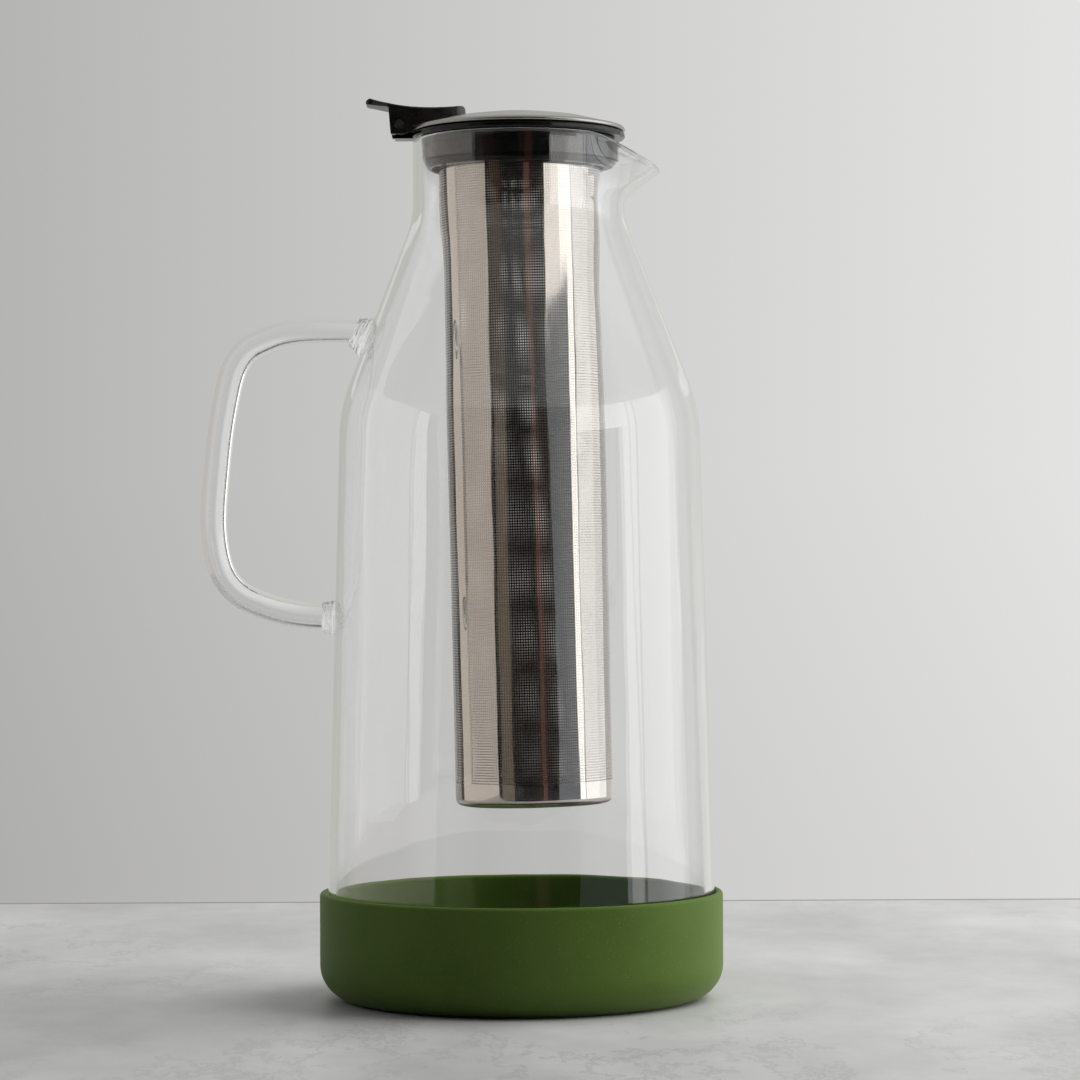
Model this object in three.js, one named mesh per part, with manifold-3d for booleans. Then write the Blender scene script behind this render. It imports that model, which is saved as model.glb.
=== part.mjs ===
// Iced tea maker: a blown glass carafe in a silicone boot, with a hinged steel lid and a hanging infuser.
// Millimetres, +Z up, +X towards the pouring lip, origin at the centre of the boot's underside.
import * as THREE from "three";
import { mergeVertices } from "three/addons/utils/BufferGeometryUtils.js";
import Module from "manifold-3d";

// Clearance between pieces, how far a cut runs past what it cuts, and how deep joined shapes overlap
const fit = 0.3;
const overrun = 2;
const rootOverlap = 0.6;

// Boot of soft silicone
const bootRadius = 60.3;
const bootHeight = 32;
const bootWall = 2.2;
const bootFloor = 2.5;
const bootCorner = 10.5;

// Glass body, from its foot up to the rim
const glassWall = 2.4;
const glassFloor = 4.5;
const glassInnerCorner = 6;
const shoulderRadius = 54.1;
const shoulderBend = 9;
const coneAngle = THREE.MathUtils.degToRad(21.4);
const neckRadius = 31.7;
const neckLength = 23.9;
const neckBend = 5.8;
const rimHeight = 257;

// Pouring lip drawn out of the neck
const lipHeight = 18;
const lipThrow = 10.4;
const lipDip = 9.1;
const lipWall = 1.8;
const lipHalfAngle = THREE.MathUtils.degToRad(48);
const lipThrowPower = 1.1;

// Handle, a solid glass rod welded on at both ends, with ridged beads at the welds
const gripReach = 91.7;
const handleBelowRim = 57.6;
const handleDrop = 85.4;
const handleTopRadius = 3.2;
const handleGripRadius = 4;
const handleGripShare = 0.4;
const upperWeldRadius = 6.4;
const upperWeldLength = 4.2;
const lowerWeldRadius = 5.2;
const lowerWeldLength = 3.8;
const weldRidge = 0.3;
const weldRidges = 3;

// Line of the handle as shares of its reach from the axis and of its height above the lower weld
const handlePathShares = [
  [0.33, 1],
  [0.75, 1],
  [0.834, 0.973],
  [0.89, 0.94],
  [0.93, 0.88],
  [0.965, 0.73],
  [0.99, 0.52],
  [1, 0.3],
  [0.971, 0.153],
  [0.917, 0.083],
  [0.831, 0.039],
  [0.72, 0.01],
  [0.5, 0],
];

// Lid collar, a flange on the glass rim with a plug in the neck, and its gasket
const flangeOverhang = 0.35;
const flangeThickness = 1.6;
const flangeEdge = 0.4;
const plugWall = 1.4;
const plugDepth = 9;
const plugChamfer = 1.2;
const plugBead = 0.8;
const plugBeadHeight = 1.9;
const gasketThickness = 1.3;
const gasketLowerBand = 3.7;
const gasketGroove = 0.8;
const gasketGrooveDepth = 0.6;

// Bayonet that hangs the infuser on the collar's shelves
const lugCount = 3;
const lugArc = THREE.MathUtils.degToRad(40);
const lugHeight = 1.6;
const shelfArc = THREE.MathUtils.degToRad(70);
const shelfThickness = 1.7;
const shelfReach = 1.5;

// Infuser of rolled sheet, with a pressed cup below and a stiff ring on top; it hangs with a slight lean
const infuserLean = THREE.MathUtils.degToRad(1.25);
const infuserLength = 192;
const infuserInset = 0.45;
const infuserWall = 0.6;
const cupHeight = 6.3;
const cupWall = 0.8;
const cupCorner = 2.2;
const topRingWall = 1.2;
const topRingHeight = 4.1;

// Steel lid cap
const capWall = 0.8;
const capBead = 0.7;
const capCrown = 4.7;

// Plastic liner under the cap, and its seal
const linerThickness = 1.2;
const linerEdge = 0.5;
const linerChamfer = 4.3;
const skirtWall = 1.1;
const skirtDepth = 3.6;
const skirtLip = 0.7;
const skirtLipHeight = 0.8;
const sealThickness = 1.1;
const sealRoom = 0.6;

// Hinge at the back of the collar
const pinSetback = 3.45;
const pinRise = 2.6;
const pinRadius = 1.1;
const pinProud = 0.2;
const pinPlay = 0.2;
const barrelRadius = 3;
const barrelWidth = 7.4;
const webRear = 1.5;
const webStart = THREE.MathUtils.degToRad(-110);
const cheekRadius = 3.4;
const cheekStart = THREE.MathUtils.degToRad(-35);
const cheekEnd = THREE.MathUtils.degToRad(-125);

// Thumb lever, measured from the hinge pin
const leverWidth = 14;
const leverNoseWidth = 12;
const leverTailWidth = 9.6;
const leverPlanCorner = 2.4;
const leverTail = 10.5;
const leverTailRise = 7.1;
const leverTailThickness = 1.5;
const leverTailRake = 1.1;
const leverHeel = 3.1;
const leverHeelRise = 4.9;
const leverWaist = 2.5;
const leverWaistRise = 3.9;
const leverNose = 19.7;
const leverNoseRise = 4.9;
const leverNoseRake = 2;

// Screws that hold the lever, driven from under the cap
const screwSetback = 15;
const screwSpacing = 7.2;
const screwRadius = 1;
const screwHeadRadius = 1.9;
const screwHeadHeight = 1;
const screwBite = 1.6;

// Facets
const glassSteps = 50;
const roundSteps = 40;
const smallSteps = 16;
const rodSides = 10;
const rodSteps = 30;
const lipSteps = 5;
const ridgeSteps = 2;
const cornerSteps = 2;
const curveSteps = 3;
const quarterTurn = Math.PI / 2;
const fullTurn = Math.PI * 2;

// Places and sizes that follow from the values above
const glassFoot = bootFloor + fit;
const glassFootRadius = bootRadius - bootWall - fit;
const glassFootCorner = bootCorner - bootWall - fit;
const neckStart = rimHeight - neckLength;
const shoulderHeight = neckStart - (shoulderRadius - neckRadius) / Math.tan(coneAngle);
const neckTop = rimHeight - glassWall / 2;
const lipRoot = neckTop - lipHeight;
const handleTop = rimHeight - handleBelowRim;
const handleLow = handleTop - handleDrop;

const gasketOuter = neckRadius - glassWall - fit;
const gasketInner = gasketOuter - gasketThickness;
const plugRadius = gasketInner - fit;
const mouthRadius = plugRadius - plugWall;
const plugBottom = rimHeight - plugDepth;
const flangeRadius = neckRadius + flangeOverhang;
const flangeBottom = rimHeight + fit;
const flangeTop = flangeBottom + flangeThickness;
const gasketBottom = plugBottom + plugBeadHeight + fit;
const gasketTop = flangeBottom - fit;

const shelfTop = plugBottom + shelfThickness;
const shelfInner = mouthRadius - shelfReach;
const lugReach = mouthRadius - fit;
const lugBottom = shelfTop + fit + lugReach * Math.sin(infuserLean);
const topRingOuter = shelfInner - fit;
const topRingBottom = lugBottom - fit;
const tubeRadius = topRingOuter - infuserInset;
const tubeTop = topRingBottom - fit;
const infuserBottom = tubeTop - infuserLength;
const cupTop = infuserBottom + cupHeight;

const capBottom = flangeTop + fit;
const beadReach = flangeRadius - capBead;
const beadHeight = capBottom + capBead;
const domeRadius = (beadReach ** 2 + capCrown ** 2) / (capCrown + capCrown);
const domeCentre = beadHeight + capBead + capCrown - domeRadius;
const linerRadius = beadReach - capBead - fit;
const sealOuter = mouthRadius - sealRoom;
const sealInner = sealOuter - sealThickness;
const skirtRadius = sealInner - fit;
const skirtBottom = capBottom - skirtDepth;

const pinX = -(flangeRadius + pinSetback);
const pinZ = flangeTop + pinRise;
const screwX = pinX + screwSetback;
const screwY = screwSpacing / 2;
const screwReach = Math.hypot(screwX, screwY);
const screwHeadTop = domeHeight(screwReach + screwHeadRadius, -capWall) - fit;
const screwTip = domeHeight(screwReach, fit) + screwBite;

const wasm = await Module();
wasm.setup();

// A closed geometry as a solid that can be cut and joined
function solidOf(geometry) {
  const bare = geometry.clone();
  bare.deleteAttribute("normal");
  bare.deleteAttribute("uv");
  const merged = mergeVertices(bare);
  const mesh = new wasm.Mesh({
    numProp: 3,
    vertProperties: merged.getAttribute("position").array,
    triVerts: new Uint32Array(merged.index.array),
  });
  return new wasm.Manifold(mesh);
}

// A solid back as a geometry
function geometryOf(solid) {
  const mesh = solid.getMesh();
  const geometry = new THREE.BufferGeometry();
  geometry.setAttribute("position", new THREE.BufferAttribute(mesh.vertProperties, mesh.numProp));
  geometry.setIndex(new THREE.BufferAttribute(mesh.triVerts, 1));
  geometry.computeVertexNormals();
  return geometry;
}

// An outline of (radius, height) revolved about the upright axis
function turned(outline, steps = roundSteps) {
  const lathe = new THREE.LatheGeometry(outline.getPoints(cornerSteps), steps);
  return lathe.rotateX(quarterTurn);
}

// A shape drawn in plan, between two heights
function upright(shape, bottom, top) {
  const options = { depth: top - bottom, bevelEnabled: false, curveSegments: smallSteps / 2 };
  return new THREE.ExtrudeGeometry(shape, options).translate(0, 0, bottom);
}

// A shape drawn in side view as (x, z), with its width centred on the middle plane
function crosswise(shape, width) {
  const options = { depth: width, bevelEnabled: false, curveSegments: smallSteps / 2 };
  const geometry = new THREE.ExtrudeGeometry(shape, options);
  return geometry.translate(0, 0, -width / 2).rotateX(quarterTurn);
}

// A cylinder round the hinge axis
function hingeCylinder(radius, width) {
  return new THREE.CylinderGeometry(radius, radius, width, smallSteps).translate(pinX, 0, pinZ);
}

// An upright cylinder between two heights
function post(radius, bottom, top, x, y) {
  const cylinder = new THREE.CylinderGeometry(radius, radius, top - bottom, smallSteps);
  return cylinder.rotateX(quarterTurn).translate(x, y, (bottom + top) / 2);
}

// A stretch of a flat ring, centred on an angle
function ringSegment(inner, outer, bottom, top, middle, arc) {
  const start = middle - arc / 2;
  const end = middle + arc / 2;
  const shape = new THREE.Shape();
  shape.absarc(0, 0, outer, start, end, false);
  shape.absarc(0, 0, inner, end, start, true);
  shape.closePath();
  return upright(shape, bottom, top);
}

// Height of the lid's dome at a reach from the axis, on a surface offset from its outside
function domeHeight(reach, offset) {
  return domeCentre + Math.sqrt((domeRadius + offset) ** 2 - reach ** 2);
}

// Boot with a rounded foot and a rounded rim
function bootGeometry() {
  const inner = bootRadius - bootWall;
  const innerCorner = bootCorner - bootWall;
  const rimRound = bootWall / 2;
  const outline = new THREE.Path();
  outline.moveTo(0, 0);
  outline.lineTo(bootRadius - bootCorner, 0);
  outline.absarc(bootRadius - bootCorner, bootCorner, bootCorner, -quarterTurn, 0, false);
  outline.lineTo(bootRadius, bootHeight - rimRound);
  outline.absarc(bootRadius - rimRound, bootHeight - rimRound, rimRound, 0, Math.PI, false);
  outline.lineTo(inner, bootFloor + innerCorner);
  outline.absarc(inner - innerCorner, bootFloor + innerCorner, innerCorner, 0, -quarterTurn, true);
  outline.lineTo(0, bootFloor);
  return turned(outline, glassSteps);
}

// Outer line of the glass from its foot to the top of the neck, before the lip is drawn
function glassLine() {
  const outline = new THREE.Path();
  const footCentre = glassFootRadius - glassFootCorner;
  outline.moveTo(footCentre, glassFoot);
  outline.absarc(footCentre, glassFoot + glassFootCorner, glassFootCorner, -quarterTurn, 0, false);
  outline.lineTo(glassFootRadius, bootHeight);
  outline.lineTo(shoulderRadius, shoulderHeight - shoulderBend);
  outline.quadraticCurveTo(
    shoulderRadius,
    shoulderHeight,
    shoulderRadius - shoulderBend * Math.sin(coneAngle),
    shoulderHeight + shoulderBend * Math.cos(coneAngle),
  );
  outline.lineTo(neckRadius + neckBend * Math.sin(coneAngle), neckStart - neckBend * Math.cos(coneAngle));
  outline.quadraticCurveTo(neckRadius, neckStart, neckRadius, neckStart + neckBend);
  const points = outline.getPoints(curveSteps);
  for (let step = 1; step <= lipSteps; step += 1) {
    const height = THREE.MathUtils.lerp(neckStart + neckBend, neckTop, step / lipSteps);
    points.push(new THREE.Vector2(neckRadius, height));
  }
  return points;
}

// Each point of a line moved square to the line by a distance of its own, outwards where it is positive
function offsetLine(points, distanceAt) {
  return points.map((point, index) => {
    const before = points[Math.max(index - 1, 0)];
    const after = points[Math.min(index + 1, points.length - 1)];
    const along = after.clone().sub(before).normalize();
    const distance = distanceAt(index);
    return new THREE.Vector2(point.x + along.y * distance, point.y - along.x * distance);
  });
}

// How far the lip is drawn at a height of the neck and an angle from the pouring direction, from 0 to 1
function lipShare(height, angle) {
  const rise = THREE.MathUtils.clamp((height - lipRoot) / lipHeight, 0, 1);
  const spread = Math.min(Math.abs(angle) / lipHalfAngle, 1);
  return (rise * (1 + Math.cos(Math.PI * spread))) / 2;
}

// Where the lip's draw takes a point of the neck
function drawnByLip(point, angle) {
  const share = lipShare(point.y, angle);
  return new THREE.Vector2(point.x + lipThrow * share ** lipThrowPower, point.y - lipDip * share);
}

// Whole outline of the glass at an angle: outside, rounded rim, inside and floor
function glassOutline(line, angle) {
  const outside = line.map((point) => drawnByLip(point, angle));
  const wallAt = (index) => THREE.MathUtils.lerp(glassWall, lipWall, lipShare(line[index].y, angle));
  const inside = offsetLine(outside, (index) => -wallAt(index));
  const rim = [];
  const edge = outside[outside.length - 1];
  const middle = edge.clone().add(inside[inside.length - 1]).divideScalar(2);
  for (let step = 1; step <= curveSteps; step += 1) {
    const turn = (Math.PI * step) / (curveSteps + 1);
    rim.push(edge.clone().rotateAround(middle, turn));
  }
  const floor = glassFoot + glassFloor;
  const cornerTop = floor + glassInnerCorner;
  const wallInside = glassFootRadius - glassWall;
  const corner = new THREE.Path();
  corner.absarc(wallInside - glassInnerCorner, cornerTop, glassInnerCorner, 0, -quarterTurn, true);
  corner.lineTo(0, floor);
  const upper = inside.filter((point, index) => line[index].y > cornerTop).reverse();
  return [new THREE.Vector2(0, glassFoot), ...outside, ...rim, ...upper, ...corner.getPoints(curveSteps)];
}

// Revolves outlines that change with the angle; the first and the last point lie on the axis
function revolved(outlineAt, steps) {
  const positions = [];
  const triangles = [];
  const count = outlineAt(0).length - 2;
  const bottom = steps * count;
  for (let step = 0; step < steps; step += 1) {
    const angle = (fullTurn * step) / steps;
    const signed = angle > Math.PI ? angle - fullTurn : angle;
    for (const point of outlineAt(signed).slice(1, -1)) {
      positions.push(point.x * Math.cos(angle), point.x * Math.sin(angle), point.y);
    }
    const here = step * count;
    const next = ((step + 1) % steps) * count;
    triangles.push(bottom, next, here);
    for (let index = 0; index < count - 1; index += 1) {
      triangles.push(here + index, next + index, next + index + 1);
      triangles.push(here + index, next + index + 1, here + index + 1);
    }
    triangles.push(here + count - 1, next + count - 1, bottom + 1);
  }
  const ends = outlineAt(0);
  positions.push(0, 0, ends[0].y, 0, 0, ends[ends.length - 1].y);
  const geometry = new THREE.BufferGeometry();
  geometry.setAttribute("position", new THREE.Float32BufferAttribute(positions, 3));
  geometry.setIndex(triangles);
  geometry.computeVertexNormals();
  return geometry;
}

function glassGeometry() {
  const line = glassLine();
  return revolved((angle) => glassOutline(line, angle), glassSteps);
}

// The room that the glass body takes up, with the clearance round it
function glassEnvelope() {
  const line = offsetLine(glassLine(), () => fit);
  const outline = new THREE.Path();
  outline.moveTo(0, line[0].y);
  line.forEach((point) => outline.lineTo(point.x, point.y));
  outline.lineTo(0, line[line.length - 1].y);
  return turned(outline, glassSteps);
}

// Radius of the glass at a height, and the angle at which its surface leans back from upright
function glassSurfaceAt(height) {
  const line = glassLine();
  const upper = line.findIndex((point) => point.y > height);
  const [low, high] = [line[upper - 1], line[upper]];
  const radius = THREE.MathUtils.mapLinear(height, low.y, high.y, low.x, high.x);
  return { radius, lean: Math.atan2(low.x - high.x, high.y - low.y) };
}

// A round rod along a curve in the middle plane, with a radius that changes along it
function rodGeometry(curve, radiusAt) {
  const positions = [];
  const triangles = [];
  for (let step = 0; step <= rodSteps; step += 1) {
    const share = step / rodSteps;
    const centre = curve.getPointAt(share);
    const along = curve.getTangentAt(share);
    const across = new THREE.Vector3(0, 1, 0);
    const outward = new THREE.Vector3().crossVectors(across, along);
    for (let side = 0; side < rodSides; side += 1) {
      const turn = (fullTurn * side) / rodSides;
      const point = centre.clone();
      point.addScaledVector(outward, Math.cos(turn) * radiusAt(share));
      point.addScaledVector(across, -Math.sin(turn) * radiusAt(share));
      positions.push(...point);
    }
  }
  for (let step = 0; step < rodSteps; step += 1) {
    for (let side = 0; side < rodSides; side += 1) {
      const here = step * rodSides + side;
      const beside = step * rodSides + ((side + 1) % rodSides);
      triangles.push(here, here + rodSides, beside);
      triangles.push(beside, here + rodSides, beside + rodSides);
    }
  }
  const last = rodSteps * rodSides;
  for (let side = 1; side < rodSides - 1; side += 1) {
    triangles.push(0, side, side + 1);
    triangles.push(last, last + side + 1, last + side);
  }
  const geometry = new THREE.BufferGeometry();
  geometry.setAttribute("position", new THREE.Float32BufferAttribute(positions, 3));
  geometry.setIndex(triangles);
  return geometry;
}

// Flared bead with ridges, standing square on the glass at a height and running into the rod
function weldGeometry(height, flare, length, rodRadius) {
  const surface = glassSurfaceAt(height);
  const outline = new THREE.Path();
  const root = -glassWall / 2;
  outline.moveTo(0, root);
  outline.lineTo(flare, root);
  const steps = weldRidges * ridgeSteps;
  for (let step = 0; step <= steps; step += 1) {
    const share = step / steps;
    const ridge = weldRidge * Math.cos(fullTurn * weldRidges * share);
    outline.lineTo(THREE.MathUtils.lerp(flare, rodRadius, Math.sqrt(share)) + ridge, length * share);
  }
  outline.lineTo(0, length);
  const bead = turned(outline, smallSteps);
  return bead.rotateY(-quarterTurn + surface.lean).translate(-surface.radius, 0, height);
}

// Handle rod with a weld bead at each end, shaped to the glass behind them
function handleGeometry() {
  const points = handlePathShares.map(
    ([reachShare, heightShare]) =>
      new THREE.Vector3(-gripReach * reachShare, 0, handleLow + handleDrop * heightShare),
  );
  const radiusAt = (share) =>
    THREE.MathUtils.lerp(
      handleTopRadius,
      handleGripRadius,
      THREE.MathUtils.smoothstep(share, 0, handleGripShare),
    );
  const upperLean = glassSurfaceAt(handleTop).lean;
  const upperFoot = handleTop - upperWeldLength * Math.sin(upperLean);
  const upper = weldGeometry(upperFoot, upperWeldRadius, upperWeldLength, handleTopRadius);
  const lower = weldGeometry(handleLow, lowerWeldRadius, lowerWeldLength, handleGripRadius);
  const rod = solidOf(rodGeometry(new THREE.CatmullRomCurve3(points), radiusAt));
  const joined = rod.add(solidOf(upper)).add(solidOf(lower));
  return geometryOf(joined.subtract(solidOf(glassEnvelope())));
}

// Hinge lug seen from the side: a barrel round the pin on a web that runs into the flange
function hingeLugShape() {
  const shape = new THREE.Shape();
  shape.moveTo(-plugRadius, flangeBottom);
  shape.lineTo(pinX - webRear, flangeBottom);
  shape.absarc(pinX, pinZ, barrelRadius, webStart, 0, true);
  shape.lineTo(pinX + barrelRadius, flangeTop);
  shape.lineTo(-plugRadius, flangeTop);
  shape.closePath();
  return shape;
}

// Collar: flange, plug wall with a retaining bead, shelves for the bayonet and the hinge lug
function collarGeometry() {
  const outline = new THREE.Path();
  outline.moveTo(mouthRadius, plugBottom);
  outline.lineTo(plugRadius + plugBead - plugChamfer, plugBottom);
  outline.lineTo(plugRadius + plugBead, plugBottom + plugChamfer);
  outline.lineTo(plugRadius + plugBead, plugBottom + plugBeadHeight);
  outline.lineTo(plugRadius, plugBottom + plugBeadHeight);
  outline.lineTo(plugRadius, flangeBottom);
  outline.lineTo(flangeRadius - flangeEdge, flangeBottom);
  outline.lineTo(flangeRadius, flangeBottom + flangeEdge);
  outline.lineTo(flangeRadius, flangeTop - flangeEdge);
  outline.lineTo(flangeRadius - flangeEdge, flangeTop);
  outline.lineTo(mouthRadius, flangeTop);
  outline.closePath();
  let collar = solidOf(turned(outline));
  for (let lug = 0; lug < lugCount; lug += 1) {
    const middle = (fullTurn * lug) / lugCount;
    const outer = mouthRadius + rootOverlap;
    collar = collar.add(solidOf(ringSegment(shelfInner, outer, plugBottom, shelfTop, middle, shelfArc)));
  }
  collar = collar.add(solidOf(crosswise(hingeLugShape(), barrelWidth)));
  const bore = solidOf(hingeCylinder(pinRadius + pinPlay, leverWidth));
  return geometryOf(collar.subtract(bore));
}

// Gasket with a lower and an upper sealing band
function gasketGeometry() {
  const grooveBottom = gasketBottom + gasketLowerBand;
  const grooveTop = grooveBottom + gasketGroove;
  const outline = new THREE.Path();
  outline.moveTo(gasketInner, gasketBottom);
  outline.lineTo(gasketOuter, gasketBottom);
  outline.lineTo(gasketOuter, grooveBottom);
  outline.lineTo(gasketOuter - gasketGrooveDepth, grooveBottom);
  outline.lineTo(gasketOuter - gasketGrooveDepth, grooveTop);
  outline.lineTo(gasketOuter, grooveTop);
  outline.lineTo(gasketOuter, gasketTop);
  outline.lineTo(gasketInner, gasketTop);
  outline.closePath();
  return turned(outline);
}

// Top ring of the infuser with the bayonet lugs that rest on the collar's shelves
function topRingGeometry() {
  const inner = topRingOuter - topRingWall;
  const edge = topRingWall / 2;
  const top = topRingBottom + topRingHeight;
  const outline = new THREE.Path();
  outline.moveTo(inner, topRingBottom);
  outline.lineTo(topRingOuter, topRingBottom);
  outline.lineTo(topRingOuter, top - edge);
  outline.absarc(inner + edge, top - edge, edge, 0, Math.PI, false);
  outline.closePath();
  let ring = solidOf(turned(outline));
  for (let lug = 0; lug < lugCount; lug += 1) {
    const middle = (fullTurn * lug) / lugCount;
    const root = topRingOuter - rootOverlap;
    ring = ring.add(solidOf(ringSegment(root, lugReach, lugBottom, lugBottom + lugHeight, middle, lugArc)));
  }
  return geometryOf(ring);
}

// Rolled tube of the infuser
function tubeGeometry() {
  const inner = tubeRadius - infuserWall;
  const bottom = cupTop + fit;
  const outline = new THREE.Path();
  outline.moveTo(inner, bottom);
  outline.lineTo(tubeRadius, bottom);
  outline.lineTo(tubeRadius, tubeTop);
  outline.lineTo(inner, tubeTop);
  outline.closePath();
  return turned(outline);
}

// Pressed cup that closes the infuser below
function cupGeometry() {
  const inner = tubeRadius - cupWall;
  const innerCorner = cupCorner - cupWall;
  const cornerTop = infuserBottom + cupCorner;
  const outline = new THREE.Path();
  outline.moveTo(0, infuserBottom);
  outline.lineTo(tubeRadius - cupCorner, infuserBottom);
  outline.absarc(tubeRadius - cupCorner, cornerTop, cupCorner, -quarterTurn, 0, false);
  outline.lineTo(tubeRadius, cupTop);
  outline.lineTo(inner, cupTop);
  outline.lineTo(inner, cornerTop);
  outline.absarc(inner - innerCorner, cornerTop, innerCorner, 0, -quarterTurn, true);
  outline.lineTo(0, infuserBottom + cupWall);
  return turned(outline);
}

// Domed steel cap with a rolled edge, drilled for the lever's screws
function capGeometry() {
  const inner = beadReach - capBead;
  const innerTurn = Math.acos(inner / (domeRadius - capWall));
  const outerTurn = Math.acos(beadReach / domeRadius);
  const outline = new THREE.Path();
  outline.absarc(0, domeCentre, domeRadius - capWall, quarterTurn, innerTurn, true);
  outline.absarc(beadReach, beadHeight, capBead, Math.PI, fullTurn + quarterTurn, false);
  outline.absarc(0, domeCentre, domeRadius, outerTurn, quarterTurn, false);
  let cap = solidOf(turned(outline));
  for (const side of [-1, 1]) {
    const hole = post(screwRadius + fit, skirtBottom, screwTip, screwX, side * screwY);
    cap = cap.subtract(solidOf(hole));
  }
  return geometryOf(cap);
}

// The room that the cap takes up, with the clearance round it
function capEnvelope() {
  const reach = flangeRadius + fit;
  const outerTurn = Math.acos(beadReach / (domeRadius + fit));
  const outline = new THREE.Path();
  outline.moveTo(0, capBottom - overrun);
  outline.lineTo(reach, capBottom - overrun);
  outline.lineTo(reach, beadHeight);
  outline.absarc(beadReach, beadHeight, capBead + fit, 0, quarterTurn, false);
  outline.absarc(0, domeCentre, domeRadius + fit, outerTurn, quarterTurn, false);
  return turned(outline);
}

// Liner: a plate under the cap, with a skirt that holds the seal in the collar's mouth
function linerGeometry() {
  const top = capBottom + linerThickness;
  const lip = skirtRadius + skirtLip;
  const lipTop = skirtBottom + skirtLipHeight;
  const outline = new THREE.Path();
  outline.moveTo(0, capBottom);
  outline.lineTo(skirtRadius - skirtWall, capBottom);
  outline.lineTo(skirtRadius - skirtWall, skirtBottom);
  outline.lineTo(lip, skirtBottom);
  outline.lineTo(lip, lipTop);
  outline.lineTo(skirtRadius, lipTop);
  outline.lineTo(skirtRadius, capBottom);
  outline.lineTo(linerRadius, capBottom);
  outline.lineTo(linerRadius, capBottom + linerEdge);
  outline.lineTo(linerRadius - linerChamfer, top);
  outline.lineTo(0, top);
  return turned(outline);
}

// Seal ring on the liner's skirt
function sealGeometry() {
  const bottom = skirtBottom + skirtLipHeight + fit;
  const top = capBottom - fit;
  const outline = new THREE.Path();
  outline.moveTo(sealInner, bottom);
  outline.lineTo(sealOuter, bottom);
  outline.lineTo(sealOuter, top);
  outline.lineTo(sealInner, top);
  outline.closePath();
  return turned(outline);
}

// Lever seen from the side: thumb tail, saddle, nose on the dome and cheeks round the pin
function leverSideShape() {
  const tailX = pinX - leverTail;
  const noseX = pinX + leverNose;
  const shape = new THREE.Shape();
  shape.moveTo(tailX, pinZ + leverTailRise - leverTailThickness);
  shape.lineTo(pinX - leverHeel, pinZ + leverHeelRise);
  shape.absarc(pinX, pinZ, cheekRadius, cheekEnd, cheekStart, false);
  shape.lineTo(-beadReach, beadHeight);
  shape.lineTo(noseX, domeHeight(noseX, -capWall));
  shape.lineTo(noseX, domeHeight(noseX, fit));
  shape.lineTo(noseX - leverNoseRake, pinZ + leverNoseRise);
  shape.quadraticCurveTo(
    pinX + leverWaist,
    pinZ + leverWaistRise,
    tailX + leverTailRake,
    pinZ + leverTailRise,
  );
  shape.closePath();
  return shape;
}

// Lever seen from above: widest at the hinge, with rounded ends
function leverPlanShape() {
  const tailX = pinX - leverTail;
  const noseX = pinX + leverNose;
  const shape = new THREE.Shape();
  const corner = leverPlanCorner;
  const tailSide = leverTailWidth / 2;
  const side = leverWidth / 2;
  const noseSide = leverNoseWidth / 2;
  shape.moveTo(tailX + corner, -tailSide);
  shape.lineTo(pinX - cheekRadius, -side);
  shape.lineTo(pinX + cheekRadius, -side);
  shape.lineTo(noseX - corner, -noseSide);
  shape.quadraticCurveTo(noseX, -noseSide, noseX, corner - noseSide);
  shape.lineTo(noseX, noseSide - corner);
  shape.quadraticCurveTo(noseX, noseSide, noseX - corner, noseSide);
  shape.lineTo(pinX + cheekRadius, side);
  shape.lineTo(pinX - cheekRadius, side);
  shape.lineTo(tailX + corner, tailSide);
  shape.quadraticCurveTo(tailX, tailSide, tailX, tailSide - corner);
  shape.lineTo(tailX, corner - tailSide);
  shape.quadraticCurveTo(tailX, -tailSide, tailX + corner, -tailSide);
  return shape;
}

// Room for the collar's lug between the lever's cheeks, open below the pin
function lugPocket() {
  const width = barrelWidth + fit + fit;
  const round = solidOf(hingeCylinder(barrelRadius + fit, width));
  const shape = new THREE.Shape();
  shape.moveTo(pinX - cheekRadius - overrun, pinZ);
  shape.lineTo(pinX - cheekRadius - overrun, capBottom - overrun);
  shape.lineTo(-beadReach, capBottom - overrun);
  shape.lineTo(-beadReach, pinZ);
  shape.closePath();
  return round.add(solidOf(crosswise(shape, width)));
}

function leverGeometry() {
  const bottom = capBottom - overrun;
  const top = pinZ + leverTailRise + overrun;
  let lever = solidOf(crosswise(leverSideShape(), leverWidth + overrun));
  lever = lever.intersect(solidOf(upright(leverPlanShape(), bottom, top)));
  lever = lever.subtract(solidOf(capEnvelope()));
  lever = lever.subtract(lugPocket());
  lever = lever.subtract(solidOf(hingeCylinder(pinRadius + pinPlay, leverWidth + overrun)));
  for (const side of [-1, 1]) {
    const hole = post(screwRadius + fit, capBottom, screwTip + fit, screwX, side * screwY);
    lever = lever.subtract(solidOf(hole));
  }
  return geometryOf(lever);
}

function pinGeometry() {
  return hingeCylinder(pinRadius, leverWidth + pinProud + pinProud);
}

// Screw with a flat head below the cap and its shank up in the lever
function screwGeometry() {
  const outline = new THREE.Path();
  outline.moveTo(0, screwHeadTop - screwHeadHeight);
  outline.lineTo(screwHeadRadius, screwHeadTop - screwHeadHeight);
  outline.lineTo(screwHeadRadius, screwHeadTop);
  outline.lineTo(screwRadius, screwHeadTop);
  outline.lineTo(screwRadius, screwTip);
  outline.lineTo(0, screwTip);
  return turned(outline, smallSteps);
}

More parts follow.
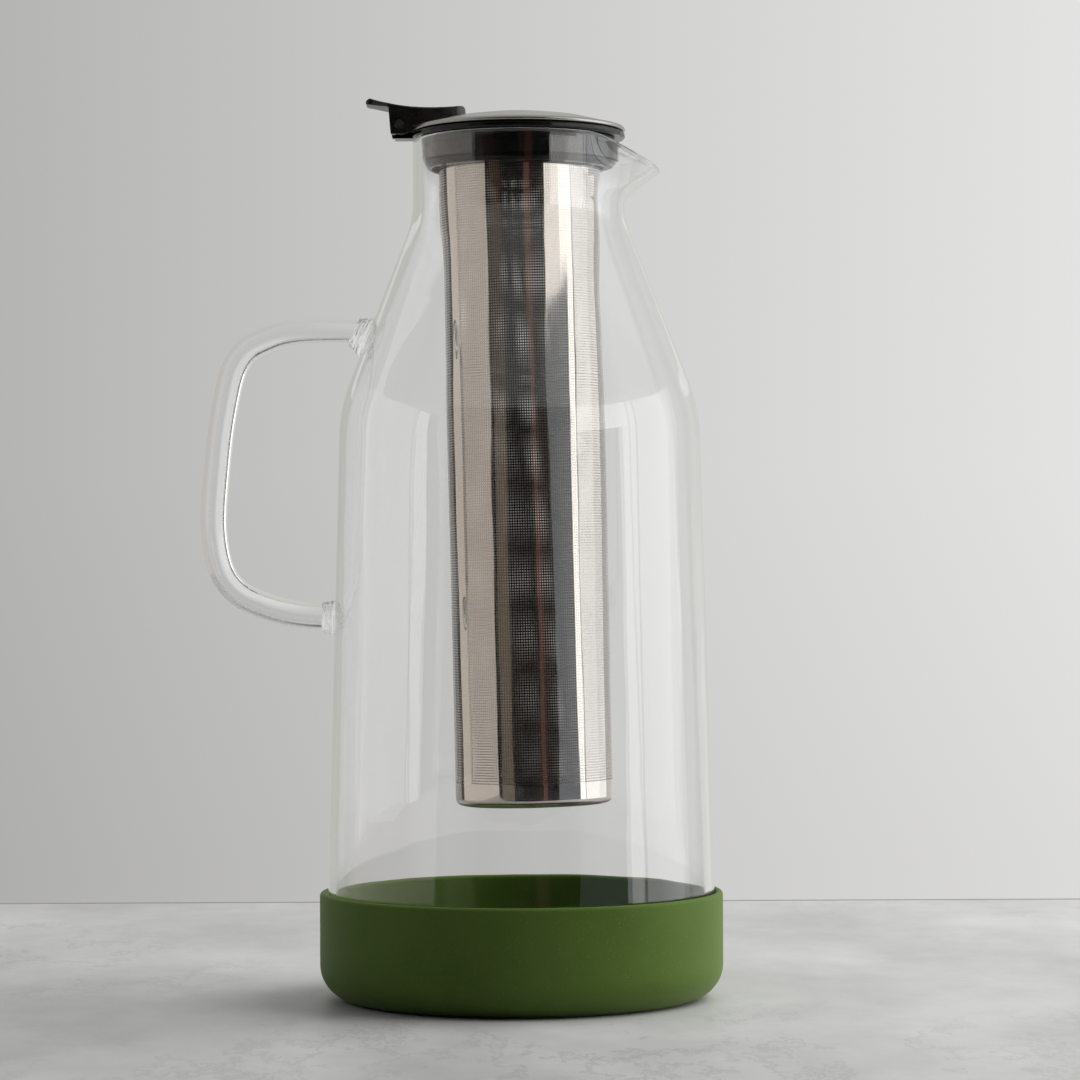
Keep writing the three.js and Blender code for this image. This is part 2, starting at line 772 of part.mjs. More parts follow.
// Materials by what each piece is made of
const silicone = { color: 0x4a6230, roughness: 0.75, metalness: 0 };
const glass = { color: 0xe4ebe6, roughness: 0.04, metalness: 0, transparent: true, opacity: 0.3 };
const blackPlastic = { color: 0x141415, roughness: 0.3, metalness: 0 };
const blackSeal = { color: 0x1c1c1d, roughness: 0.6, metalness: 0 };
const mirrorSteel = { color: 0xd9d5cf, roughness: 0.08, metalness: 1 };
const satinSteel = { color: 0xb8b3ad, roughness: 0.32, metalness: 1 };

// One named mesh with a material of its own
function piece(name, geometry, look) {
  const mesh = new THREE.Mesh(geometry, new THREE.MeshStandardMaterial(look));
  mesh.name = name;
  return mesh;
}

function screwPiece(name, side) {
  const screw = piece(name, screwGeometry(), satinSteel);
  screw.position.set(screwX, side * screwY, 0);
  return screw;
}

const carafe = new THREE.Group();
carafe.add(piece("glass_carafe", glassGeometry(), glass));
carafe.add(piece("carafe_handle", handleGeometry(), glass));

const collar = new THREE.Group();
collar.add(piece("lid_collar", collarGeometry(), blackPlastic));
collar.add(piece("collar_gasket", gasketGeometry(), blackSeal));
collar.add(piece("hinge_pin", pinGeometry(), satinSteel));

const infuser = new THREE.Group();
infuser.position.z = shelfTop;
infuser.rotation.y = -infuserLean;
infuser.add(piece("infuser_rim", topRingGeometry(), mirrorSteel));
infuser.add(piece("infuser_tube", tubeGeometry(), mirrorSteel));
infuser.add(piece("infuser_base", cupGeometry(), mirrorSteel));
infuser.children.forEach((mesh) => mesh.position.setZ(-shelfTop));

const lid = new THREE.Group();
lid.add(piece("lid_cap", capGeometry(), satinSteel));
lid.add(piece("lid_liner", linerGeometry(), blackPlastic));
lid.add(piece("lid_seal", sealGeometry(), blackSeal));
lid.add(piece("thumb_lever", leverGeometry(), blackPlastic));
lid.add(screwPiece("lever_screw_left", 1));
lid.add(screwPiece("lever_screw_right", -1));

const maker = new THREE.Group();
maker.add(piece("base_sleeve", bootGeometry(), silicone));
maker.add(carafe, collar, infuser, lid);

export default maker;
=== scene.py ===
"""Dresses the packed iced tea maker: blown glass, matte silicone, perforated steel and black plastic."""

import math

import bmesh
import bpy
import numpy as np
from mathutils import Matrix


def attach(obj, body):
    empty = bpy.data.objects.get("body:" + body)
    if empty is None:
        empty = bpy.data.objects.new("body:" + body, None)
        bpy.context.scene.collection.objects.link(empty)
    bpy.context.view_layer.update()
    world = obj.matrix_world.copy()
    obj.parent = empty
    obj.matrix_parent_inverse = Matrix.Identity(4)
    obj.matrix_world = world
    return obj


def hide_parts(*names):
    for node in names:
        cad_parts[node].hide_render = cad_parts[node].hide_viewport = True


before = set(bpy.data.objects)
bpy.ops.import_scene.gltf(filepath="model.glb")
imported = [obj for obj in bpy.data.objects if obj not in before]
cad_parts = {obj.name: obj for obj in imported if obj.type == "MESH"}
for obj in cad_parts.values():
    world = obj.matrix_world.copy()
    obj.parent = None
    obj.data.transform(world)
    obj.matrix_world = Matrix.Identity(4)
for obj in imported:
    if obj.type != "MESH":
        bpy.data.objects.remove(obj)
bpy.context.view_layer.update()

# Outlines are written in millimetres and meshes are in metres
MILLIMETRE = 0.001

# Angles in degrees, and the middle of a share that runs from 0 to 1
QUARTER_TURN = 90
HALF_TURN = 180
FULL_TURN = 360
MIDDLE = 0.5

# Boot
BOOT_RADIUS = 60.3
BOOT_HEIGHT = 32
BOOT_WALL = 2.2
BOOT_FLOOR = 2.5
BOOT_CORNER = 10.5

# Glass body
CLEARANCE = 0.3
GLASS_WALL = 2.4
GLASS_FLOOR = 4.5
GLASS_INNER_CORNER = 6
GLASS_FOOT = BOOT_FLOOR + CLEARANCE
GLASS_FOOT_RADIUS = BOOT_RADIUS - BOOT_WALL - CLEARANCE
GLASS_FOOT_CORNER = BOOT_CORNER - BOOT_WALL - CLEARANCE
SHOULDER_RADIUS = 54.1
SHOULDER_BEND = 9
CONE_ANGLE = math.radians(21.4)
NECK_RADIUS = 31.7
NECK_BEND = 5.8
RIM_HEIGHT = 257
NECK_HEIGHT = 23.9
NECK_START = RIM_HEIGHT - NECK_HEIGHT
NECK_TOP = RIM_HEIGHT - GLASS_WALL / 2
SHOULDER_HEIGHT = NECK_START - (SHOULDER_RADIUS - NECK_RADIUS) / math.tan(CONE_ANGLE)

# Slow unevenness of the blown wall, as a share of it, and its waves: how often each goes round the axis,
# its phase, the height in which it turns by a radian, and its share
WAVE_SHARE = 0.08
WALL_WAVES = [(3, 0.7, 90, 0.5), (7, 1.9, -60, 0.3), (13, 0.4, 35, 0.2)]

# Pouring lip, whose start is eased in over a small share of its height
LIP_HEIGHT = 18
LIP_ROOT = NECK_TOP - LIP_HEIGHT
LIP_THROW = 10.4
LIP_DIP = 9.1
LIP_WALL = 1.8
LIP_HALF_ANGLE = math.radians(48)
LIP_THROW_POWER = 1.1
LIP_EASE = 0.06

# Handle: a bent rod whose ends stand in the glass's wall, and its path as shares of the reach and the drop
GRIP_REACH = 91.7
HANDLE_BELOW_RIM = 57.6
HANDLE_TOP = RIM_HEIGHT - HANDLE_BELOW_RIM
HANDLE_DROP = 85.4
HANDLE_LOW = HANDLE_TOP - HANDLE_DROP
HANDLE_TOP_RADIUS = 3.2
HANDLE_GRIP_RADIUS = 4
HANDLE_GRIP_SHARE = 0.4
ROD_TOP_DEPTH = GLASS_WALL / 5
ROD_LOW_DEPTH = GLASS_WALL / 2
HANDLE_PATH_SHARES = [
    (0.33, 1), (0.75, 1), (0.834, 0.973), (0.89, 0.94), (0.93, 0.88), (0.965, 0.73), (0.99, 0.52),
    (1, 0.3), (0.971, 0.153), (0.917, 0.083), (0.831, 0.039), (0.72, 0.01), (0.5, 0),
]

# Beads where the rod is welded to the glass: each flares out from its end to its foot on the glass. Two sets
# of ridges cross on them: the first sways round the bead, and the second is finer, fainter and spirals
UPPER_WELD = {"height": HANDLE_TOP, "flare": 6.4, "end": 4.5, "length": 4.2, "rod": HANDLE_TOP_RADIUS}
LOWER_WELD = {"height": HANDLE_LOW, "flare": 5.2, "end": 4.5, "length": 3.8, "rod": HANDLE_GRIP_RADIUS}
WELD_RIDGE = 0.07
WELD_RIDGES = 3
WELD_RIDGE_STEPS = 12
WELD_SWAY = 0.3
WELD_SWAY_START = 1
WELD_SPIRAL_RIDGES = 1.7
WELD_SPIRAL_TURNS = 2
WELD_SPIRAL_SHARE = 0.3

# Shares of a UV map that a piece takes from bottom to top: the whole of its own, or a part of the glass's
WHOLE_SHARES = (0.0, 1.0)
BODY_SHARES = (0.0, 0.8)
ROD_SHARES = (0.82, 0.9)
UPPER_WELD_SHARES = (0.91, 0.95)
LOWER_WELD_SHARES = (0.96, 1)

# Infuser, which leans about the middle of its shelves. Its perforation is a material: the sizes are those
# of the holes' rows and columns, and of the plain strip along the seam
LEAN = math.radians(1.25)
LEAN_HEIGHT = 249.7
TUBE_RADIUS = 23.75
TUBE_TOP = 249.96
TUBE_WALL = 0.6
INFUSER_BOTTOM = 57.96
CUP_WALL = 0.8
CUP_CORNER = 2.2
HOLES_START = 64.8
HOLE_COLUMNS = 207
HOLE_ROW = 0.79
HOLE_WIDTH_SHARE = 0.556
HOLE_HEIGHT_SHARE = 0.506
INSIDE_ROUGHNESS = 0.45
SEAM_WIDTH = 4.6
SEAM_TURN = -0.409

# Lid cap
CAP_BOTTOM = 259.2
CAP_BEAD = 0.7
CAP_WALL = 0.8
CAP_CROWN = 4.7
CAP_BEAD_REACH = 31.35
CAP_BEAD_HEIGHT = CAP_BOTTOM + CAP_BEAD
DOME_RADIUS = (CAP_BEAD_REACH ** 2 + CAP_CROWN ** 2) / (CAP_CROWN + CAP_CROWN)
DOME_CENTRE = CAP_BEAD_HEIGHT + CAP_BEAD + CAP_CROWN - DOME_RADIUS

# Hinge and thumb lever, measured from the pin. The lever is remeshed and softened, which rounds its edges
PIN_X = -35.5
PIN_Z = 261.5
PIN_HOLE = 1.3
LUG_RADIUS = 3.3
LUG_WIDTH = 8
LEVER_WIDTH = 14
LEVER_NOSE_WIDTH = 9.6
LEVER_TAIL_WIDTH = 9.6
LEVER_CORNER = 2.4
LEVER_TAIL = 10.6
LEVER_TAIL_RISE = 7.8
LEVER_TAIL_THICKNESS = 1.8
LEVER_TIP = LEVER_TAIL_THICKNESS / 3
LEVER_HEEL = (-3.3, 4.9)
LEVER_HEEL_FOOT = (-2.6, -3.2)
LEVER_TOE = (1, -3.3)
LEVER_WAIST = (2.5, 3.4)
LEVER_NOSE = 19.7
LEVER_NOSE_RISE = 5.5
LEVER_NOSE_ROUND = 1.3
LEVER_VOXEL = 0.2
LEVER_SOFTENING = 8

# Facets, and the distance in metres at which corners are joined
ROUND_STEPS = 192
ROD_SIDES = 64
LONG_PITCH = 4
FINE_PITCH = 0.8
ARC_PITCH_DEGREES = 7.5
ROD_PITCH = 1.5
LEAST_ARC_STEPS = 2
LEAST_ROD_STEPS = 4
BEND_STEPS = 10
LEVER_BACK_STEPS = 24
RIM_STEPS = 9
JOIN_DISTANCE = 0.00001
SMOOTH_ANGLE = math.radians(32)
UPRIGHT = math.radians(QUARTER_TURN)

# Camera
FOCAL_PIXELS = 3550
PICTURE_PIXELS = 1080
SENSOR_WIDTH = 36
EYE = (0.006, -1.065, 0.125)
HORIZON_PIXELS_BELOW_CENTRE = 39.8
CAMERA_ROLL = 0.0043

# Stage: a table top with a painted shadow line along its back edge, where it meets the wall
TABLE_BACK = 0.319
TABLE_FRONT = -1.05
TABLE_HALF_WIDTH = 2.5
TABLE_MIRRORED_SIDE = 0.45
TABLE_MIRRORED_FRONT = 0.35
# Depth of the painted shadow line along the table's back edge
GAP_SHADE_WIDTH = 0.0045


class Graph:
    """Builds a node tree; what feeds an input is a plain value or the output of another node."""

    def __init__(self, tree):
        self.tree = tree
        tree.nodes.clear()

    def feed(self, socket, value):
        if isinstance(value, bpy.types.NodeSocket):
            self.tree.links.new(value, socket)
        else:
            socket.default_value = value

    def add(self, kind, inputs=None, **settings):
        node = self.tree.nodes.new("ShaderNode" + kind)
        for name, value in settings.items():
            setattr(node, name, value)
        for key, value in (inputs or {}).items():
            self.feed(node.inputs[key], value)
        return node

    def math(self, operation, *values):
        node = self.add("Math", operation=operation)
        for socket, value in zip(node.inputs, values):
            self.feed(socket, value)
        return node.outputs[0]

    def mix(self, factor, first, second):
        node = self.add("Mix", data_type="RGBA")
        for index, value in ((0, factor), (6, first), (7, second)):
            self.feed(node.inputs[index], value)
        return node.outputs[2]

    def span(self, value, low, high, new_low=0.0, new_high=1.0):
        inputs = {"Value": value, "From Min": low, "From Max": high, "To Min": new_low, "To Max": new_high}
        return self.add("MapRange", inputs).outputs[0]

    def noise(self, place, scale, detail, roughness=MIDDLE):
        inputs = {"Vector": place, "Scale": scale, "Detail": detail, "Roughness": roughness}
        return self.add("TexNoise", inputs).outputs[0]

    def stretched(self, place, scales):
        return self.add("Mapping", {"Vector": place, "Scale": scales}).outputs[0]

    def bump(self, height, distance, strength):
        inputs = {"Height": height, "Distance": distance, "Strength": strength}
        return self.add("Bump", inputs).outputs[0]

    def parts(self, place):
        return self.add("SeparateXYZ", {0: place}).outputs

    def scaled(self, colour, factor):
        return self.add("VectorMath", {0: colour, "Scale": factor}, operation="SCALE").outputs[0]

    def reach(self, place):
        """Distance from the upright axis."""
        level = self.stretched(place, (1, 1, 0))
        return self.add("VectorMath", {0: level}, operation="LENGTH").outputs["Value"]

    def between(self, value, limits):
        low, high = (self.math("GREATER_THAN", value, limit) for limit in limits)
        return self.math("SUBTRACT", low, high)

    def finish(self, shader):
        self.add("OutputMaterial", {"Surface": shader.outputs[0]})


def rgb(red, green, blue):
    return (red, green, blue, 1.0)


def grey(value):
    return rgb(value, value, value)


def arc(centre, radius, start, end):
    """Points on an arc between two angles in degrees."""
    steps = max(LEAST_ARC_STEPS, math.ceil(abs(end - start) / ARC_PITCH_DEGREES))
    points = []
    for angle in np.radians(np.linspace(start, end, steps + 1)):
        points.append((centre[0] + radius * math.cos(angle), centre[1] + radius * math.sin(angle)))
    return points


def bend(start, control, end, steps=BEND_STEPS):
    """Points on a quadratic curve."""
    points = []
    for share in np.linspace(0, 1, steps + 1):
        near, middle, far = (1 - share) ** 2, 2 * share * (1 - share), share ** 2
        points.append(tuple(near * a + middle * b + far * c for a, b, c in zip(start, control, end)))
    return points


def dense(points, pitch):
    """The same outline with its long straight stretches divided."""
    result = [points[0]]
    for start, end in zip(points, points[1:]):
        parts = max(1, math.ceil(math.dist(start, end) / pitch))
        for part in range(1, parts + 1):
            share = part / parts
            result.append(tuple(a + (b - a) * share for a, b in zip(start, end)))
    return result


def new_object(name, vertices, faces, uvs):
    """A mesh from corners in millimetres, with smooth rounds and crisp edges."""
    mesh = bpy.data.meshes.new(name)
    mesh.from_pydata([tuple(MILLIMETRE * value for value in vertex) for vertex in vertices], [], faces)
    layer = mesh.uv_layers.new(name="UVMap")
    layer.data.foreach_set("uv", np.array(uvs, dtype=np.float32).ravel())
    mesh.shade_smooth()
    mesh.set_sharp_from_angle(angle=SMOOTH_ANGLE)
    item = bpy.data.objects.new(name, mesh)
    bpy.context.scene.collection.objects.link(item)
    return item


def turned(name, outline_at, steps=ROUND_STEPS, uv_shares=WHOLE_SHARES):
    """A closed mesh from an outline of (radius, height) at each angle, whose ends lie on the axis.
    Its UV map runs round the axis and, between the shares, along the outline."""
    low, high = uv_shares
    vertices, faces, uvs = [], [], []
    for step in range(steps):
        angle = math.tau * step / steps
        signed = angle - math.tau if angle > math.pi else angle
        outline = outline_at(signed)
        for radius, height in outline[1:-1]:
            vertices.append((radius * math.cos(angle), radius * math.sin(angle), height))
    count = len(outline) - 2
    vertices.append((0, 0, outline[0][1]))
    vertices.append((0, 0, outline[-1][1]))
    bottom, top = steps * count, steps * count + 1

    def along(index):
        return low + (high - low) * (index + 1) / (count + 1)

    for step in range(steps):
        here = step * count
        beside = (step + 1) % steps * count
        left, right = step / steps, (step + 1) / steps
        faces.append((bottom, beside, here))
        uvs += [(left, low), (right, along(0)), (left, along(0))]
        for index in range(count - 1):
            faces.append((here + index, beside + index, beside + index + 1, here + index + 1))
            upper, lower = along(index + 1), along(index)
            uvs += [(left, lower), (right, lower), (right, upper), (left, upper)]
        faces.append((here + count - 1, beside + count - 1, top))
        uvs += [(left, along(count - 1)), (right, along(count - 1)), (left, high)]
    return new_object(name, vertices, faces, uvs)


def swept(name, centres, radii, uv_shares):
    """A closed rod along points in the middle plane."""
    low, high = uv_shares
    vertices, faces, uvs = [], [], []
    along = np.gradient(centres, axis=0)
    along /= np.linalg.norm(along, axis=1)[:, None]
    for centre, tangent, radius in zip(centres, along, radii):
        outward = (tangent[1], -tangent[0])
        for side in range(ROD_SIDES):
            turn = math.tau * side / ROD_SIDES
            reach = radius * math.cos(turn)
            vertices.append((
                centre[0] + reach * outward[0],
                radius * math.sin(turn),
                centre[1] + reach * outward[1],
            ))
    rings = len(centres)
    for ring in range(rings - 1):
        lower = low + (high - low) * ring / rings
        upper = low + (high - low) * (ring + 1) / rings
        for side in range(ROD_SIDES):
            here = ring * ROD_SIDES + side
            beside = ring * ROD_SIDES + (side + 1) % ROD_SIDES
            left, right = side / ROD_SIDES, (side + 1) / ROD_SIDES
            faces.append((here, here + ROD_SIDES, beside + ROD_SIDES, beside))
            uvs += [(left, lower), (left, upper), (right, upper), (right, lower)]
    last = (rings - 1) * ROD_SIDES
    faces.append(tuple(range(ROD_SIDES)))
    faces.append(tuple(last + side for side in reversed(range(ROD_SIDES))))
    uvs += [(MIDDLE, low)] * ROD_SIDES + [(MIDDLE, high)] * ROD_SIDES
    return new_object(name, vertices, faces, uvs)


def applied(target):
    """Turns the target's modifiers into its mesh."""
    graph = bpy.context.evaluated_depsgraph_get()
    mesh = bpy.data.meshes.new_from_object(target.evaluated_get(graph))
    target.modifiers.clear()
    target.data = mesh
    mesh.shade_smooth()
    mesh.set_sharp_from_angle(angle=SMOOTH_ANGLE)


def combined(target, operation, others):
    """The target fused with the others, cut down to them or cut by them."""
    for other in others:
        modifier = target.modifiers.new("combine", "BOOLEAN")
        modifier.operation = operation
        modifier.solver = "MANIFOLD"
        modifier.object = other
    applied(target)
    for other in others:
        bpy.data.objects.remove(other)


def prism(name, outline, low, high, upright=False):
    """A straight solid whose outline lies in the middle plane, or in the level plane where it is upright."""
    form = bmesh.new()
    rings = []
    for level in (low, high):
        places = [(a, b, level) if upright else (a, level, b) for a, b in outline]
        rings.append([form.verts.new([MILLIMETRE * value for value in place]) for place in places])
        form.faces.new(rings[-1])
    first, second = rings
    for a, b, c, d in zip(first, first[1:] + first[:1], second[1:] + second[:1], second):
        form.faces.new((a, b, c, d))
    bmesh.ops.recalc_face_normals(form, faces=form.faces)
    mesh = bpy.data.meshes.new(name)
    form.to_mesh(mesh)
    form.free()
    item = bpy.data.objects.new(name, mesh)
    bpy.context.scene.collection.objects.link(item)
    return item


def glass_line():
    """Outer line of the glass from its foot to the top of the neck, before the lip is drawn."""
    sine, cosine = math.sin(CONE_ANGLE), math.cos(CONE_ANGLE)
    centre = (GLASS_FOOT_RADIUS - GLASS_FOOT_CORNER, GLASS_FOOT + GLASS_FOOT_CORNER)
    lower = arc(centre, GLASS_FOOT_CORNER, -QUARTER_TURN, 0) + [(GLASS_FOOT_RADIUS, BOOT_HEIGHT)]
    lower += bend(
        (SHOULDER_RADIUS, SHOULDER_HEIGHT - SHOULDER_BEND),
        (SHOULDER_RADIUS, SHOULDER_HEIGHT),
        (SHOULDER_RADIUS - SHOULDER_BEND * sine, SHOULDER_HEIGHT + SHOULDER_BEND * cosine),
    )
    lower += bend(
        (NECK_RADIUS + NECK_BEND * sine, NECK_START - NECK_BEND * cosine),
        (NECK_RADIUS, NECK_START),
        (NECK_RADIUS, NECK_START + NECK_BEND),
    )
    neck = dense([lower[-1], (NECK_RADIUS, NECK_TOP)], FINE_PITCH)
    return dense(lower, LONG_PITCH) + neck[1:]


def offset_line(points, distances):
    """Each point moved square to the line, outwards where its distance is positive."""
    points = np.array(points)
    along = np.empty_like(points)
    along[1:-1] = points[2:] - points[:-2]
    along[0], along[-1] = points[1] - points[0], points[-1] - points[-2]
    along /= np.linalg.norm(along, axis=1)[:, None]
    square = np.stack([along[:, 1], -along[:, 0]], axis=1)
    return points + square * np.array(distances)[:, None]


def lip_share(height, angle):
    """How far the lip is drawn, from 0 to 1."""
    rise = min(max((height - LIP_ROOT) / LIP_HEIGHT, 0), 1)
    eased = rise ** 2 / (rise + LIP_EASE) * (1 + LIP_EASE)
    spread = min(abs(angle) / LIP_HALF_ANGLE, 1)
    return eased * (1 + math.cos(math.pi * spread)) / 2


def blown_wave(angle, height):
    """Unevenness of the blown wall, between -1 and 1."""
    total = 0
    for turns, phase, rise, share in WALL_WAVES:
        total += share * math.sin(turns * angle + phase + height / rise)
    return total


GLASS_LINE = glass_line()


def glass_outline(angle):
    """Whole outline of the glass at an angle: outside, rounded rim, inside and floor."""
    outside, walls = [], []
    for radius, height in GLASS_LINE:
        share = lip_share(height, angle)
        outside.append((radius + LIP_THROW * share ** LIP_THROW_POWER, height - LIP_DIP * share))
        wall = GLASS_WALL + (LIP_WALL - GLASS_WALL) * share
        fade = min(max((RIM_HEIGHT - height) / LIP_HEIGHT, 0), 1)
        walls.append(-wall * (1 + WAVE_SHARE * fade * blown_wave(angle, height)))
    inside = offset_line(outside, walls)
    edge = np.array(outside[-1])
    middle = (edge + inside[-1]) / 2
    rim = []
    for step in range(1, RIM_STEPS):
        turn = math.pi * step / RIM_STEPS
        sine, cosine = math.sin(turn), math.cos(turn)
        arm = edge - middle
        rim.append((middle[0] + arm[0] * cosine - arm[1] * sine, middle[1] + arm[0] * sine + arm[1] * cosine))
    floor = GLASS_FOOT + GLASS_FLOOR
    corner_top = floor + GLASS_INNER_CORNER
    centre = (GLASS_FOOT_RADIUS - GLASS_WALL - GLASS_INNER_CORNER, corner_top)
    upper = [tuple(point) for point, (_, height) in zip(inside, GLASS_LINE) if height > corner_top]
    ground = dense([(GLASS_FOOT_RADIUS - GLASS_FOOT_CORNER, GLASS_FOOT), (0, GLASS_FOOT)], LONG_PITCH)
    corner = arc(centre, GLASS_INNER_CORNER, 0, -QUARTER_TURN)
    inner_ground = dense([corner[-1], (0, floor)], LONG_PITCH)
    return ground[:0:-1] + outside + rim + upper[::-1] + corner + inner_ground[1:]


def glass_surface(height):
    """Radius of the glass at a height, and how far its surface leans back from upright."""
    for (low_radius, low), (high_radius, high) in zip(GLASS_LINE, GLASS_LINE[1:]):
        if low <= height < high:
            share = (height - low) / (high - low)
            radius = low_radius + (high_radius - low_radius) * share
            return radius, math.atan2(low_radius - high_radius, high - low)


def spline(points, pitch):
    """A centripetal curve through points in a plane, as closely spaced points."""
    points = [np.array(point, dtype=float) for point in points]
    points = [2 * points[0] - points[1], *points, 2 * points[-1] - points[-2]]
    result = []
    for p0, p1, p2, p3 in zip(points, points[1:], points[2:], points[3:]):
        d0, d1, d2 = (math.sqrt(math.dist(a, b)) for a, b in ((p0, p1), (p1, p2), (p2, p3)))
        start = ((p1 - p0) / d0 - (p2 - p0) / (d0 + d1) + (p2 - p1) / d1) * d1
        end = ((p2 - p1) / d1 - (p3 - p1) / (d1 + d2) + (p3 - p2) / d2) * d1
        steps = max(LEAST_ROD_STEPS, math.ceil(math.dist(p1, p2) / pitch))
        for t in np.arange(steps) / steps:
            square, cube = t * t, t * t * t
            result.append(
                (2 * cube - 3 * square + 1) * p1 + (cube - 2 * square + t) * start
                + (3 * square - 2 * cube) * p2 + (cube - square) * end
            )
    return np.array(result + [points[-2]])


def weld(name, spec, uv_shares):
    """Flared, ridged bead that stands square on the glass and runs into the rod."""
    lean = glass_surface(spec["height"])[1]
    foot = spec["height"] - spec["length"] * math.sin(lean)
    radius = glass_surface(foot)[0]
    steps = WELD_RIDGES * WELD_RIDGE_STEPS

    def outline_at(angle):
        points = [(0, -GLASS_WALL / 2), (spec["flare"], -GLASS_WALL / 2)]
        sway = WELD_SWAY * math.sin(angle + WELD_SWAY_START)
        for step in range(steps + 1):
            share = step / steps
            ridges = WELD_RIDGES * share
            swaying = math.cos(math.tau * (ridges + sway))
            spiral = math.cos(math.tau * WELD_SPIRAL_RIDGES * ridges - WELD_SPIRAL_TURNS * angle)
            ridge = WELD_RIDGE * (swaying + WELD_SPIRAL_SHARE * spiral)
            taper = spec["flare"] + (spec["end"] - spec["flare"]) * share
            points.append((taper + ridge, spec["length"] * share))
        points.append((spec["rod"] - WELD_RIDGE, spec["length"] + WELD_RIDGE))
        points.append((0, spec["length"] + WELD_RIDGE))
        return points

    bead = turned(name, outline_at, ROD_SIDES + ROD_SIDES, uv_shares)
    place = Matrix.Translation((-radius * MILLIMETRE, 0, foot * MILLIMETRE))
    bead.data.transform(place @ Matrix.Rotation(lean - UPRIGHT, 4, "Y"))
    return bead


def handle_rod():
    """The rod of the handle, ending inside the glass's wall at both welds."""
    places = [(-GRIP_REACH * reach, HANDLE_LOW + HANDLE_DROP * rise) for reach, rise in HANDLE_PATH_SHARES]
    centres = spline(places, ROD_PITCH)
    travel = np.concatenate([[0], np.cumsum(np.linalg.norm(np.diff(centres, axis=0), axis=1))])
    share = np.clip(travel / travel[-1] / HANDLE_GRIP_SHARE, 0, 1)
    radii = HANDLE_TOP_RADIUS + (HANDLE_GRIP_RADIUS - HANDLE_TOP_RADIUS) * share ** 2 * (3 - 2 * share)
    half = len(centres) // 2
    upper_start = ROD_TOP_DEPTH - glass_surface(HANDLE_TOP)[0]
    lower_end = ROD_LOW_DEPTH - glass_surface(HANDLE_LOW)[0]
    limits = np.where(np.arange(len(centres)) < half, upper_start, lower_end)
    kept = centres[:, 0] < limits
    return swept("handle_rod", centres[kept], radii[kept], ROD_SHARES)


def boot_outline(_):
    """The boot's underside, outside, rounded lip and inside."""
    inner = BOOT_RADIUS - BOOT_WALL
    rim = BOOT_WALL / 2
    corner = BOOT_CORNER - BOOT_WALL
    points = [(0, 0)]
    points += arc((BOOT_RADIUS - BOOT_CORNER, BOOT_CORNER), BOOT_CORNER, -QUARTER_TURN, 0)
    points += arc((BOOT_RADIUS - rim, BOOT_HEIGHT - rim), rim, 0, HALF_TURN)
    points += arc((inner - corner, BOOT_FLOOR + corner), corner, 0, -QUARTER_TURN)
    points += [(0, BOOT_FLOOR)]
    return dense(points, LONG_PITCH)


def infuser_outline(_):
    """The infuser's cup and tube in one: bottom, outside, rounded rim and inside."""
    inner = TUBE_RADIUS - TUBE_WALL
    rim = TUBE_WALL / 2
    corner = CUP_CORNER - CUP_WALL
    points = [(0, INFUSER_BOTTOM)]
    points += arc((TUBE_RADIUS - CUP_CORNER, INFUSER_BOTTOM + CUP_CORNER), CUP_CORNER, -QUARTER_TURN, 0)
    points += arc((TUBE_RADIUS - rim, TUBE_TOP - rim), rim, 0, HALF_TURN)
    points += arc((inner - corner, INFUSER_BOTTOM + CUP_WALL + corner), corner, 0, -QUARTER_TURN)
    points += [(0, INFUSER_BOTTOM + CUP_WALL)]
    return dense(points, LONG_PITCH)


def cap_outline(_):
    """The cap's underside, rolled bead and domed top."""
    inner = CAP_BEAD_REACH - CAP_BEAD
    inner_radius = DOME_RADIUS - CAP_WALL
    inner_turn = math.degrees(math.acos(inner / inner_radius))
    outer_turn = math.degrees(math.acos(CAP_BEAD_REACH / DOME_RADIUS))
    underside = arc((0, DOME_CENTRE), inner_radius, QUARTER_TURN, inner_turn)
    bead = arc((CAP_BEAD_REACH, CAP_BEAD_HEIGHT), CAP_BEAD, HALF_TURN, FULL_TURN + QUARTER_TURN)
    top = arc((0, DOME_CENTRE), DOME_RADIUS, outer_turn, QUARTER_TURN)
    return dense(underside + bead + top[1:], FINE_PITCH + FINE_PITCH)


def lever_side():
    """Lever seen from the side: thumb tail, saddle, nose on the dome and cheeks round the pin."""
    def from_pin(x, z):
        return (PIN_X + x, PIN_Z + z)

    nose = LEVER_NOSE
    top = LEVER_NOSE_RISE
    rounding = LEVER_NOSE_ROUND
    thickness = LEVER_TAIL_THICKNESS
    tail_top = from_pin(thickness - LEVER_TAIL, LEVER_TAIL_RISE)
    tail_low = from_pin(LEVER_TIP - LEVER_TAIL, LEVER_TAIL_RISE - thickness)
    tip = from_pin(-LEVER_TAIL, LEVER_TAIL_RISE - LEVER_TIP)
    points = bend(tail_top, tip, tail_low)
    points += [from_pin(*LEVER_HEEL), from_pin(*LEVER_HEEL_FOOT), from_pin(*LEVER_TOE)]
    points += [(-CAP_BEAD_REACH, CAP_BOTTOM), (PIN_X + nose, CAP_BOTTOM)]
    points += bend(from_pin(nose, top - rounding), from_pin(nose, top), from_pin(nose - rounding, top))
    points += bend(from_pin(nose - rounding, top), from_pin(*LEVER_WAIST), tail_top, LEVER_BACK_STEPS)[1:-1]
    return points


